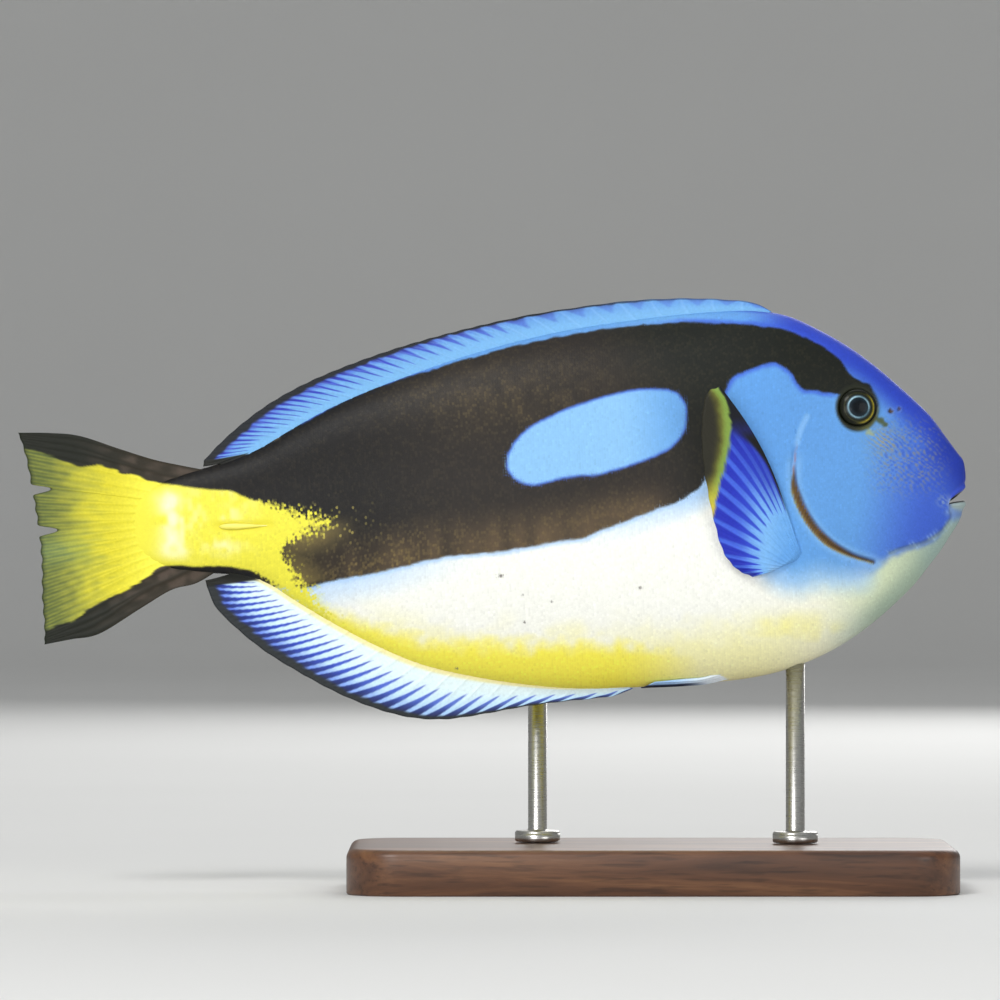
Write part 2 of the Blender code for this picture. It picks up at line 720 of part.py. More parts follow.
def stand_base(name):
    """A flat plate with round corners and a soft upper edge."""
    shape = bmesh.new()
    corners = []
    for sx, sy, first in ((1, 1, 0), (-1, 1, 90), (-1, -1, 180), (1, -1, 270)):
        for step in range(5):
            angle = math.radians(first + 22.5 * step)
            corners.append(shape.verts.new((
                BASE_CENTRE_X + sx * (BASE_LENGTH / 2 - BASE_CORNER) + BASE_CORNER * math.cos(angle),
                sy * (BASE_WIDTH / 2 - BASE_CORNER) + BASE_CORNER * math.sin(angle), 0)))
    bottom = shape.faces.new(corners)
    raised = bmesh.ops.extrude_face_region(shape, geom=[bottom])
    lifted = [v for v in raised["geom"] if isinstance(v, bmesh.types.BMVert)]
    bmesh.ops.translate(shape, verts=lifted, vec=(0, 0, BASE_HEIGHT))
    rim = [e for e in shape.edges if all(v.co.z > BASE_HEIGHT / 2 for v in e.verts)]
    bmesh.ops.bevel(shape, geom=rim, offset=BASE_BEVEL, segments=2, affect="EDGES", profile=0.5)
    mesh = bpy.data.meshes.new(name)
    bmesh.ops.recalc_face_normals(shape, faces=shape.faces)
    shape.to_mesh(mesh)
    shape.free()
    plate = bpy.data.objects.new(name, mesh)
    bpy.context.scene.collection.objects.link(plate)
    return plate


def stand_rod(name, x, side, top):
    """A round rod with a collar at its foot."""
    foot = BASE_HEIGHT + GAP
    collar = COLLAR_HEIGHT / MM
    radius, wide = ROD_RADIUS / MM, COLLAR_RADIUS / MM
    profile = [(0, 0), (wide, 0), (wide, collar - 0.8), (wide - 0.8, collar), (radius, collar),
               (radius, (top - foot) / MM), (0, (top - foot) / MM)]
    return turned(name, profile, Vector((x, side, foot)), Vector((0, 0, 1)), 20)


def paint(body, colour, roughness, metallic=0.0):
    material = bpy.data.materials.new(body.name)
    material.use_nodes = True
    surface = material.node_tree.nodes["Principled BSDF"]
    surface.inputs["Base Color"].default_value = (*colour, 1)
    surface.inputs["Roughness"].default_value = roughness
    surface.inputs["Metallic"].default_value = metallic
    body.data.materials.clear()
    body.data.materials.append(material)
    body.data.shade_smooth()
    body.data.set_sharp_from_angle(angle=math.radians(40))


def copy_of(body, name):
    twin = body.copy()
    twin.data = body.data.copy()
    twin.name = name
    bpy.context.scene.collection.objects.link(twin)
    return twin


def main():
    clear_scene()
    plain = loft_body("plain_body")
    raised = loft_body("head", with_opercle=True)
    grown = loft_body("grown_body", grow=GAP / MM, from_mouth=False)
    flank = Flank(plain)
    cheek = Flank(raised)
    back_edge = curve_at([(r[0], r[1]) for r in BODY_RINGS], 600)
    belly_edge = curve_at([(r[5], r[6]) for r in BODY_RINGS], 600)
    sides = {"right": -1, "left": 1}

    front_of = ahead_of_gills("front_of_gills", -GAP / MM / 2)
    front_cut = ahead_of_gills("gill_cut", GAP / MM / 2)
    stalk_region = behind_plane("stalk_region", STALK_START + GAP / MM / 2)
    stalk_cut = behind_plane("stalk_cut", STALK_START - GAP / MM / 2)
    slits = [gill_slit(f"slit_{s}", flank, f) for s, f in sides.items()]

    head = raised
    boolean(head, front_of, "INTERSECT")
    apply_all(head)
    rims = [ring_tube(f"rim_{s}", *eye_frame(cheek, f), EYE_RADIUS + 0.75, ORBIT_RING)
            for s, f in sides.items()]
    head = union_of("head", [head, *rims])
    sockets = [eye_socket(f"socket_{s}", cheek, f) for s, f in sides.items()]
    pits = [nostril_pit(f"pit_{s}_{k}", cheek, f, spot)
            for s, f in sides.items() for k, spot in enumerate(NOSTRILS)]
    cut_away(head, *slits, *sockets, *pits)

    trunk = copy_of(plain, "trunk")
    grooves = [spine_solid(f"groove_{s}", flank, f, GAP / MM, -1.0 - GAP / MM, 3.0)
               for s, f in sides.items()]
    cut_away(trunk, front_cut, stalk_cut, *slits, *grooves)
    stalk = copy_of(plain, "tail_stalk")
    boolean(stalk, stalk_region, "INTERSECT")
    cut_away(stalk, *grooves)

    nodes = {
        "head": (head, SKIN_BLUE, 0.4, 0.0),
        "trunk": (trunk, SKIN_DARK, 0.5, 0.0),
        "tail_stalk": (stalk, SKIN_YELLOW, 0.5, 0.0),
    }
    dorsal = median_fin("dorsal_fin", DORSAL_BASE, DORSAL_MARGIN, DORSAL_SPINES, DORSAL_RAYS,
                        DORSAL_SPINE_END, 1, back_edge)
    anal = median_fin("anal_fin", ANAL_BASE, ANAL_MARGIN, ANAL_SPINES, ANAL_RAYS,
                      ANAL_SPINE_END, -1, belly_edge)
    tail = tail_fin("caudal_fin")
    nodes["dorsal_fin"] = (cut_away(dorsal, grown), FIN_BLUE, 0.5, 0.0)
    nodes["anal_fin"] = (cut_away(anal, grown), FIN_WHITE, 0.5, 0.0)
    nodes["caudal_fin"] = (cut_away(tail, grown), SKIN_YELLOW, 0.5, 0.0)
    for s, f in sides.items():
        fin = pectoral_fin(f"pectoral_fin_{s}", flank, f)
        nodes[fin.name] = (cut_away(fin, grown), FIN_BLUE, 0.5, 0.0)
        fin = pelvic_fin(f"pelvic_fin_{s}", belly_edge, f)
        nodes[fin.name] = (cut_away(fin, grown), FIN_WHITE, 0.5, 0.0)
        nodes[f"eye_{s}"] = (make_eye(f"eye_{s}", cheek, f), IRIS_DARK, 0.1, 0.0)
        spine = spine_solid(f"tail_spine_{s}", flank, f, 0.0, -1.0, SPINE_STANDS_OUT)
        nodes[spine.name] = (spine, SPINE_BONE, 0.4, 0.0)
    rods = {
        "stand_rod_front": (FRONT_ROD_X, 0.0),
        "stand_rod_rear": (REAR_ROD_X, REAR_ROD_SIDE),
    }
    nodes["stand_base"] = (stand_base("stand_base"), WALNUT, 0.4, 0.0)
    for name, (x, side) in rods.items():
        rod = stand_rod(name, x, side, SNOUT_Z - 20 * MM)
        nodes[name] = (cut_away(rod, grown), STEEL, 0.3, 1.0)

    for body, colour, roughness, metallic in nodes.values():
        paint(body, colour, roughness, metallic)
    kept = {body.name for body, *_ in nodes.values()}
    for body in list(bpy.data.objects):
        if body.name not in kept:
            bpy.data.objects.remove(body)


main()
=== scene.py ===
"""A regal blue tang of the yellow-bellied form, dressed over its solids.

The fish is drawn in its own frame, in millimetres: behind the tip of the snout,
up from the axis, and side from the mid plane, positive to the fish's left.
One skin covers the flesh, small scales lie on it, and the fins are thin
sheets with a ridge for each ray. The same named lines and colours paint skin,
scales and fins.
"""

import math

import bpy
import numpy as np
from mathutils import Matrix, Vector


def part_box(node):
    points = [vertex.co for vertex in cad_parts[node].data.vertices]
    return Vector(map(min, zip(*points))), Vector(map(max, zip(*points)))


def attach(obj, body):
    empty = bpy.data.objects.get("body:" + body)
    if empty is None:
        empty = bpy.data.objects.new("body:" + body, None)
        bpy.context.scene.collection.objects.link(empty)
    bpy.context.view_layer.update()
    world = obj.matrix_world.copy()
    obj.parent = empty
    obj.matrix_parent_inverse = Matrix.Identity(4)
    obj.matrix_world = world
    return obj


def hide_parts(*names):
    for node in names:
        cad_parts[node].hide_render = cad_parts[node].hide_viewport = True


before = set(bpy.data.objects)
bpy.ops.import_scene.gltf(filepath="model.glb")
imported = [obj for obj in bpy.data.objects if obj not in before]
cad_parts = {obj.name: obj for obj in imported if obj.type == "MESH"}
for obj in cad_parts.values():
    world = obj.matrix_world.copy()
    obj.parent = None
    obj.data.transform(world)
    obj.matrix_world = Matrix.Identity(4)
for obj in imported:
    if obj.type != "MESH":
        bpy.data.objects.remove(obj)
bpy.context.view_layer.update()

MM = 0.001
SNOUT_X, SNOUT_Z = 125.1, 107.0
NOSE_UP = math.radians(3.0)
COAT = 0.09

# The camera's distance, and the point of the mid plane that it looks at
CAMERA_FAR = 2200.0
VIEW_WIDTH = 264.0
VIEW_CENTRE = (123.1, 2.2)

# Rings of head and shoulder: (back behind, back up, side behind, side up, half width,
# belly behind, belly up, sharpness of back, sharpness of belly)
HEAD_RINGS = (
    (5.2, -4.6, 6.4, -5.2, 2.2, 5.2, -5.15, 1, 1),
    (2.9, -3.4, 6.1, -5.3, 3.6, 2.3, -4.6, 1, 1),
    (1.9, -2.5, 5.6, -5.3, 4.3, 1.1, -4.3, 1, 1),
    (0.9, -1.7, 5.2, -5.3, 4.7, 0.5, -4.7, 1, 1),
    (0.25, -0.8, 5, -5.2, 5, 0.5, -5.7, 1, 1),
    (0.35, 0.3, 5.5, -5, 5, 1.3, -7, 1, 1),
    (0, 1.8, 6.6, -4.2, 5.7, 1.9, -8.9, 1, 1),
    (0.3, 6, 8, -3.2, 6.6, 3.3, -11.3, 0.97, 1),
    (1.9, 8.6, 10, -2.4, 7.6, 5.2, -13.9, 0.95, 1),
    (4.6, 12.7, 12.5, -1.8, 8.8, 7.6, -17.3, 0.93, 1),
    (8, 17.9, 15.5, -1.5, 10, 10.6, -20.8, 0.92, 1),
    (12, 22.4, 19, -1.5, 11.2, 14.6, -25.4, 0.92, 1),
    (16.8, 27.2, 23, -1.6, 12.4, 19.2, -29.6, 0.93, 1),
    (22.4, 32.5, 27.8, -1.8, 13.5, 24.6, -34, 0.95, 1),
    (29, 37.8, 33.4, -2.1, 14.6, 30.6, -38.2, 0.98, 1),
    (36.6, 42.7, 39.6, -2.5, 15.6, 37.4, -42, 1.02, 1),
    (45, 46.9, 46.6, -3, 16.5, 45.2, -45.1, 1.06, 1),
    (54, 48.7, 54.5, -3.4, 17, 54, -47.4, 1.1, 1),
)
# Upright rings of the trunk: (behind, back up, side up, half width, belly up,
# sharpness of back, sharpness of belly)
TRUNK_RINGS = (
    (64, 49, -3.7, 17, -48.6, 1.12, 1),
    (76, 48.6, -3.9, 16.6, -48.9, 1.13, 1.03),
    (90, 47.6, -3.8, 15.8, -49.1, 1.14, 1.08),
    (104, 46.1, -3.5, 14.8, -48.9, 1.15, 1.12),
    (118, 43.7, -3, 13.5, -47.2, 1.15, 1.15),
    (132, 40.4, -2.4, 12, -44.4, 1.15, 1.16),
    (146, 36.4, -1.8, 10.4, -40.4, 1.15, 1.16),
    (158, 32.5, -1.2, 8.9, -34.7, 1.14, 1.15),
    (169, 28.1, -0.7, 7.6, -28.2, 1.12, 1.13),
    (178, 23.6, -0.3, 6.5, -22.2, 1.1, 1.11),
    (185.5, 19.6, 0, 5.7, -16.9, 1.08, 1.09),
    (192.5, 16.9, 0.2, 5.1, -14.2, 1.06, 1.07),
    (199.5, 15, 0.4, 4.5, -13.2, 1.04, 1.05),
    (205.5, 13.6, 0.4, 3.9, -12.4, 1.02, 1.03),
    (210, 12.4, 0.4, 3.3, -11.6, 1, 1),
    (213, 11.2, 0.4, 2.6, -10.4, 1, 1),
    (216, 9.4, 0.4, 1.6, -8.6, 1, 1),
    (218.6, 7, 0.4, 0.7, -6.4, 1, 1),
    (220, 5, 0.4, 0.15, -4.6, 1, 1),
)
RINGS = np.array(HEAD_RINGS + tuple(
    (x, back, x, side, half, x, *rest) for x, back, side, half, *rest in TRUNK_RINGS))
LIP_RING, FACE_RING, NAPE_RING = 4, 6, 17
LAST_RING = len(RINGS) - 1

# Hind edge of the gill cover, fold under the jaw, the eye as seen, nostrils (behind, up,
# radius), and the folded spine of the tail
GILL_LINE = (
    (46.2, 38), (45.2, 24), (44.2, 12.6), (45.4, 4), (44.4, -2), (41.4, -8.4), (36.8, -13.8),
    (31.4, -17.2), (25.6, -19.4),
)
GILL_SLIT = GILL_LINE[2:]
JAW_FOLD = (
    (4.4, -6), (4.2, -8.8), (6.4, -11.6), (9.7, -13.9), (13, -15.2), (17, -16), (21, -17.2),
)
EYE_SEEN = (27.6, 21.6)
EYE_RADIUS, EYE_BULGE, EYE_DEPTH = 4.8, 1.7, 3.0
NOSTRILS = ((18.9, 20.2, 0.65), (16.6, 20.6, 0.5))
SPINE_ROOT, SPINE_TIP = SPINE = ((197.5, -0.9), (184.6, -1.3))

# Closed lines round the markings of the fish's side
DARK_BAND = (
    (23.5, 27), (27.8, 29.3), (29.6, 31.2), (32, 35), (35.3, 37.8), (41.7, 41.6), (49.5, 44.1),
    (57.4, 45.2), (73.2, 46.5), (94.4, 45.8), (115.7, 42.8), (134.4, 38.7), (147.8, 35.4),
    (161.2, 31), (174.8, 24.9), (182.9, 21.5), (200.4, 18), (214, 18), (224, 2), (216, -20),
    (196, -20), (187, -18), (181, -17.2), (176, -18.4), (169, -17), (158.4, -15.5), (147.7, -13.7),
    (137, -11.9), (123.8, -11.5), (113.2, -10.1), (107, -9.4), (101.8, -9.1), (98.4, -7.9),
    (94.4, -6.4), (86.4, -3.9), (77, -1), (72.9, 0.9), (69.4, 3.6), (66.5, 10), (64.6, 18),
    (63.6, 24.5), (61.9, 28.8), (59.4, 31.7), (55.4, 33.2), (51.3, 34.5), (47.9, 34.4),
    (45.1, 32.2), (43.6, 29.8), (41.6, 27.2), (37.5, 26.5), (33, 25.4), (29, 25.6), (24, 25),
)
BLUE_OVAL = (
    (120.9, 12.7), (119.2, 16.6), (115.5, 20.3), (110.1, 23.2), (103.3, 25.8), (95.3, 28),
    (87.3, 29.4), (79.4, 29.4), (75.4, 28.3), (73.2, 26), (72.6, 22.8), (73.3, 18.1), (76.2, 14.3),
    (81.6, 11.4), (88.3, 9.4), (96.4, 7.4), (104.3, 7.1), (111, 5.8), (114.2, 5.5), (117.6, 6.4),
    (120.6, 9.4),
)
YELLOW_WEDGE = (
    (222, 14.6), (217.7, 13), (211.2, 11.1), (204.6, 9.9), (198.1, 8.8), (193.6, 8.4),
    (190.3, 6.5), (186.4, 5.3), (181.2, 3.7), (177.3, 1.9), (173.4, 1), (168.1, -0.6),
    (170.9, -2.9), (177.7, -5.5), (181, -7.8), (179.6, -12), (176.9, -16.1), (174.6, -19.2),
    (171.8, -24), (168, -30), (173, -29), (179, -22), (184.5, -16.6), (190, -13), (197, -11.6),
    (204.5, -11.2), (212.3, -10.6), (224, -13), (226, 0),
)
# Heights along the fish: upper edge of the pale side, belly, back, and how far the
# belly's yellow reaches above its outline
PALE_EDGE = (
    (0, -8.4), (4.5, -9.2), (7, -12), (10, -14.6), (14, -15.9), (20, -17.4), (26, -20.4),
    (33, -20.6), (40, -20.2), (46, -21), (53, -19), (59.5, -13), (64.5, -5), (68, 2.5), (72, 5),
    (120, -3), (215, -8),
)
BELLY_LINE = (
    (0, -1.1), (1, -7.7), (3, -10.9), (6, -14.9), (10, -20), (15, -25.9), (25, -34.3), (35, -40.8),
    (45, -45), (55, -47.6), (72.8, -48.3), (94, -49), (110, -48.3), (125.6, -45.5), (141.3, -41.9),
    (151.6, -37.9), (164.5, -31.1), (177.3, -23), (188.5, -15.5), (200, -13.1), (212, -11.5),
)
BACK_LINE = (
    (0, 5.5), (1, 7.1), (3, 9.8), (6, 15), (10, 20.4), (15, 25.3), (25, 34.7), (35, 41.7),
    (45, 47.7), (57.4, 49), (94, 47.6), (126, 42), (161, 31.5), (183, 20.8), (200, 15), (212, 12),
)
YELLOW_HEIGHT = (
    (60, 6.5), (80, 8.5), (99, 11), (113, 10.2), (127, 9), (141, 6.8), (156, 4.6), (170, 2.6),
    (200, 2.6),
)
# Dark specks of the belly: (behind, up, radius)
DARK_SPECKS = (
    (123.9, -17.8, 0.6), (87.4, -22.9, 0.5), (118.4, -23.1, 0.4), (118.4, -30.3, 0.4),
    (110.8, -25.2, 0.35), (136.9, -41.6, 0.45),
)
# Strokes near the eye and on the cheek: (points, colour, strength, half width, width of
# the full colour, raggedness)
STROKES = (
    (((23.2, 18.4), (21.6, 17.7), (20.6, 16.6)), "#4a522e", 0.85, 1.1, 0.1, 0.6),
    (((25.9, 16.8), (24.9, 15.4), (24.2, 14.4)), "#aba864", 0.75, 1.2, 0.1, 0.6),
    (((44, 13), (43, 16.2), (41, 20)), "#9cc9f3", 0.45, 1.3, 0.2, 0),
)
BAND_STROKE = ((181, 22), (186, 20.6), (190.5, 19))

# Fins, as in the solids: each base runs from the first to the last foot, and the spines
# take up the given share of it
DORSAL_MARGIN = (
    (48.8, 48), (52, 50.2), (56, 51.3), (62, 52.1), (72, 52.9), (86, 53), (100, 52), (114, 50.5),
    (130, 47.8), (146, 44.3), (160, 40.3), (172, 36), (182, 31.2), (190, 26), (196, 21.2),
    (200.6, 16.8),
)
DORSAL_BASE = (49.5, 188.5)
DORSAL_SPINES, DORSAL_RAYS, DORSAL_SPINE_END = 9, 20, 0.46
ANAL_MARGIN = (
    (90.5, -49.3), (95, -50.9), (101, -51.5), (110, -51.9), (120, -52.7), (130, -54), (140, -54.9),
    (149, -54.1), (158, -51.4), (168, -46.8), (178, -40.8), (187, -34.6), (194, -28.4),
    (199.5, -22.2), (201.6, -16.6),
)
ANAL_BASE = (91.5, 187.5)
ANAL_SPINES, ANAL_RAYS, ANAL_SPINE_END = 3, 19, 0.16
TAIL_TOP_EDGE = (
    (200.5, 14.2), (207, 15.8), (214, 17.7), (222.6, 20.9), (233, 24.9), (241, 26.1),
    (249.2, 26.6),
)
TAIL_BOTTOM_EDGE = (
    (198.5, -12.6), (204.5, -15.6), (211, -17), (219.5, -21.5), (230.5, -27.5), (238, -28.6),
    (245.2, -29.6),
)
TAIL_HIND_MARGIN = (
    (249.2, 26.6), (247.6, 20.5), (246.6, 13), (245.8, 6), (245.1, -1.5), (244.9, -9),
    (245.2, -17), (245, -24), (245.2, -29.6),
)
# The tail's rays, its root behind the snout and half its height there, and its tears
TAIL_RAYS, TAIL_ROOT, TAIL_ROOT_HALF = 17, 207.5, 10.5
TAIL_NICKS, TAIL_NICK_DEPTH = (12.9, -1.4), 4.6
# Inner edges of the tail's dark lobes
TAIL_BROWN_TOP = (
    (196, 8.4), (204.6, 9.9), (211.2, 11.1), (217.7, 13), (224.2, 15.2), (228.8, 17.1),
    (233.3, 17), (237.2, 18), (241.1, 20.3), (246.8, 22.2), (252, 24),
)
TAIL_BROWN_BOTTOM = (
    (197, -13), (204.5, -11.2), (212.3, -10.3), (216.4, -12.7), (221.8, -15.9), (227.2, -18.2),
    (232.7, -20.6), (236.8, -23.5), (240.8, -24.9), (244.3, -25.8), (250, -27.5),
)
PECTORAL_ROOT = ((44.9, -14.4), (47.2, -17.6), (52.3, -20.4))
PECTORAL_MARGIN = (
    (63.6, 29.3), (67.2, 27.4), (68.8, 21), (69.2, 12), (68.4, 2.5), (67, -6.5), (65, -14.6),
    (61.6, -19.4), (57.6, -21.6),
)
PECTORAL_YELLOW = (
    (64.5, 31), (63.6, 28.2), (61.9, 24.9), (61.3, 20.1), (61.3, 16.2), (62.3, 10.9), (63.9, 5.7),
    (65.8, 0.5), (66.9, -4.7), (68.5, -9),
)
# Flare: how far the pectoral fin stands off the flank, as a share of its reach
PECTORAL_RAYS, PECTORAL_FLARE = 14, 0.17
PELVIC_ROOT, PELVIC_TIP, PELVIC_RAYS = (61.5, 2.6), (88.5, 2.2), 4

# A scale's outline (back, across, height) in shares of its width, then its top and
# bottom middle, the painted light and shade of each of these points (darker at the
# sunk front, lighter at the raised hind tip), how many are on the rim, and the plate's
# size on the skin's map
PLATE = np.array(((-0.64, -0.28, -0.045), (-0.08, -0.6, 0), (0.4, -0.44, 0.02),
                  (0.62, 0, 0.03), (0.4, 0.44, 0.02), (-0.08, 0.6, 0),
                  (-0.64, 0.28, -0.045), (0.06, 0, 0.036), (0, 0, -0.06)))
PLATE_PAINTED_SHADING = np.array((0.98, 0.99, 1.005, 1.015, 1.005, 0.99, 0.98, 1, 0.98))
PLATE_RIM = 7
PLATE_UV = 0.0026
SCALES_PER_PIECE = 14000

SKIN_COLUMNS = 300

# Distances to lines of the mid plane are read from tables with this step
TABLE_STEP = 0.4
TABLE_X, TABLE_Z = np.arange(-14, 264, TABLE_STEP), np.arange(-68, 68, TABLE_STEP)
TABLES = {}


def srgb(code):
    """The three shares of an sRGB hex value."""
    return np.array([int(code[i:i + 2], 16) for i in (1, 3, 5)]) / 255


def to_linear(colour):
    """sRGB shares to linear light: a power of 2.4 with its straight foot."""
    colour = np.clip(colour, 0, 1)
    return np.where(colour <= 0.04045, colour / 12.92, ((colour + 0.055) / 1.055) ** 2.4)


def linear(code):
    """A hex value as the linear colour, with full alpha, that a socket takes."""
    return (*to_linear(srgb(code)), 1.0)


def to_world(behind, up, side):
    """Turns the fish's frame nose up about the snout and moves it over the base."""
    behind, up, side = np.broadcast_arrays(behind, up, side)
    along = behind * math.cos(NOSE_UP) + up * math.sin(NOSE_UP)
    rise = up * math.cos(NOSE_UP) - behind * math.sin(NOSE_UP)
    return np.stack((SNOUT_X - along, side, SNOUT_Z + rise), -1) * MM


def smooth_rows(rows, places):
    """Catmull-Rom curve through the rows, read at fractional row numbers."""
    rows = np.asarray(rows, float)
    rows = np.vstack([2 * rows[0] - rows[1], rows, 2 * rows[-1] - rows[-2]])
    places = np.clip(places, 0, len(rows) - 3)
    start = np.minimum(places.astype(int), len(rows) - 4)
    t = (places - start)[..., None]
    a, b, c, d = (rows[start + k] for k in range(4))
    return 0.5 * (2 * b + (c - a) * t + (2 * a - 5 * b + 4 * c - d) * t ** 2
                  + (3 * b - a - 3 * c + d) * t ** 3)


def curve(points, shares):
    """The smooth curve through the points at shares of its way, or at a count of them."""
    if isinstance(shares, int):
        shares = np.linspace(0, 1, shares)
    return smooth_rows(points, shares * (len(points) - 1))


def fade(*steps):
    """Smooth step from 0 at low to 1 at high, in either order, for each value, low and
    high that follow one another, multiplied together."""
    share = 1.0
    for value, low, high in zip(steps[::3], steps[1::3], steps[2::3]):
        t = np.clip((value - low) / (high - low), 0, 1)
        share = share * (t * t * (3 - 2 * t))
    return share


def bell(far, width):
    """1 at no distance, falling off as a bell of the given width."""
    return np.exp(-(far / width) ** 2)


def soft_spot(x, z, centre_x, centre_z, wide, tall, power=2):
    """A soft spot: 1 at its centre, falling off as a bell each way."""
    return np.exp(-((x - centre_x) / wide) ** power - ((z - centre_z) / tall) ** power)


def blend(first, second, share):
    """From one colour to another, either of them given by sRGB shares or a hex value."""
    first, second = (srgb(c) if isinstance(c, str) else c for c in (first, second))
    return first + (second - first) * np.asarray(share)[..., None]


def layers(colour, *coats):
    """Lays one coat of (colour, share) after another over a colour."""
    for coat, share in coats:
        colour = blend(colour, coat, share)
    return colour


def grain(x, z, size, seed, side=0.0):
    """Value noise from -1 to 1: hashed corners of a cubic lattice of the given size
    in millimetres, smoothed between the corners."""
    place = np.stack(np.broadcast_arrays(x, z, side), -1) / size + 517.3 + 31.7 * seed
    corner = np.floor(place).astype(np.int64)
    part = place - corner
    part = part * part * (3 - 2 * part)
    total = 0.0
    for step in np.ndindex(2, 2, 2):
        a, b, c = np.moveaxis(corner + step, -1, 0)
        mixed = (a * 73856093 ^ b * 19349663 ^ c * 83492791 ^ seed * 2654435761) & 0xFFFFFFF
        mixed = (mixed ^ (mixed >> 13)) * 1274126177 & 0xFFFFFFF
        value = (mixed ^ (mixed >> 11)) % 65536 / 32768 - 1
        total = total + value * np.where(step, part, 1 - part).prod(-1)
    return total


def distance_table(line, signed):
    """The least distance over the pieces of a line at each place of the table, its sign,
    if asked for, from counting the crossings of a level ray."""
    x, z = np.meshgrid(TABLE_X, TABLE_Z, indexing="ij")
    best, odd = np.full(x.shape, 1e9), np.zeros(x.shape, bool)
    for (ax, az), (bx, bz) in zip(line[:-1], line[1:]):
        rx, rz = bx - ax, bz - az
        t = np.clip(((x - ax) * rx + (z - az) * rz) / (rx * rx + rz * rz + 1e-12), 0, 1)
        best = np.minimum(best, (x - ax - t * rx) ** 2 + (z - az - t * rz) ** 2)
        odd ^= ((az > z) != (bz > z)) & (x < ax + rx * (z - az) / (rz + 1e-12))
    return np.sqrt(best) * np.where(odd | (not signed), 1, -1)


def from_table(x, z, points, line, signed):
    """Reads a distance of the mid plane between the points of a table of it, which is
    made when it is first asked for."""
    if points not in TABLES:
        TABLES[points] = distance_table(line, signed)
    table = TABLES[points]
    i = np.clip((x - TABLE_X[0]) / TABLE_STEP, 0, len(TABLE_X) - 1.01)
    j = np.clip((z - TABLE_Z[0]) / TABLE_STEP, 0, len(TABLE_Z) - 1.01)
    low, left = i.astype(int), j.astype(int)
    s, t = i - low, j - left
    return ((table[low, left] * (1 - s) + table[low + 1, left] * s) * (1 - t)
            + (table[low, left + 1] * (1 - s) + table[low + 1, left + 1] * s) * t)


def line_distance(x, z, points, count=60):
    """Distance from each place to a smooth open curve."""
    return from_table(x, z, points, curve(points, count), False)


def inside(x, z, points):
    """Signed distance to a smooth closed line, positive inside it."""
    rows = [points[-1], *points, *points[:2]]
    places = np.linspace(1, len(points) + 1, 4 * len(points) + 1)
    return from_table(x, z, points, smooth_rows(rows, places), True)


def height(points, x):
    """How high a smooth line lies at places behind the snout."""
    line = curve(points, 300)
    return np.interp(x, line[:, 0], line[:, 1])


def body(place, angle):
    """The body's surface over the ring's number and the angle round it: a point rises from
    the ring's side point to its back or belly point with the sine of the angle, shifts to
    that point's place behind the snout with the sine squared, and stands out by the half
    width times the cosine to the power of the ring's sharpness. A smooth curve joins the
    rings."""
    place, angle = np.broadcast_arrays(np.asarray(place, float), np.asarray(angle, float))
    ring = np.moveaxis(smooth_rows(RINGS, place), -1, 0)
    rise, across = np.sin(angle), np.cos(angle)
    end_x, end_z, sharp = np.where(rise >= 0, ring[[0, 1, 7]], ring[[5, 6, 8]])
    return np.stack((ring[2] + (end_x - ring[2]) * rise ** 2,
                     ring[3] + (end_z - ring[3]) * np.abs(rise),
                     ring[4] * np.sign(across) * np.abs(across) ** sharp), -1)


def unit(vectors):
    """The vectors, each of length 1."""
    return vectors / (np.linalg.norm(vectors, axis=-1, keepdims=True) + 1e-12)


def outward(place, angle):
    """Unit normal of the body, from the slopes along and round it."""
    along = body(place + 2e-3, angle) - body(place - 2e-3, angle)
    around = body(place, angle + 1e-3) - body(place, angle - 1e-3)
    return unit(np.cross(along, around))


def about_view(x, z, zoom):
    """Places of the mid plane moved to or from the middle of the view."""
    return (VIEW_CENTRE[0] + (x - VIEW_CENTRE[0]) * zoom,
            VIEW_CENTRE[1] + (z - VIEW_CENTRE[1]) * zoom)


def as_seen(spot):
    """Where the camera's line through a place meets the mid plane, alike on both sides."""
    return about_view(spot[..., 0], spot[..., 1],
                      CAMERA_FAR / (CAMERA_FAR - np.abs(spot[..., 2])))


def behind_seen(x, z, side):
    """The place at a given side that the camera sees at a place of the mid plane."""
    return about_view(x, z, 1 - np.abs(side) / CAMERA_FAR)


def eye_distance(x, z, tall=1.0):
    """Distance from the eye's middle, in a circle or an upright oval."""
    return np.hypot(x - EYE_SEEN[0], (z - EYE_SEEN[1]) / tall)


def gill_edge(z):
    """How far behind the snout the gill cover ends at each height."""
    return np.interp(-z, [-p[1] for p in GILL_LINE], [p[0] for p in GILL_LINE])


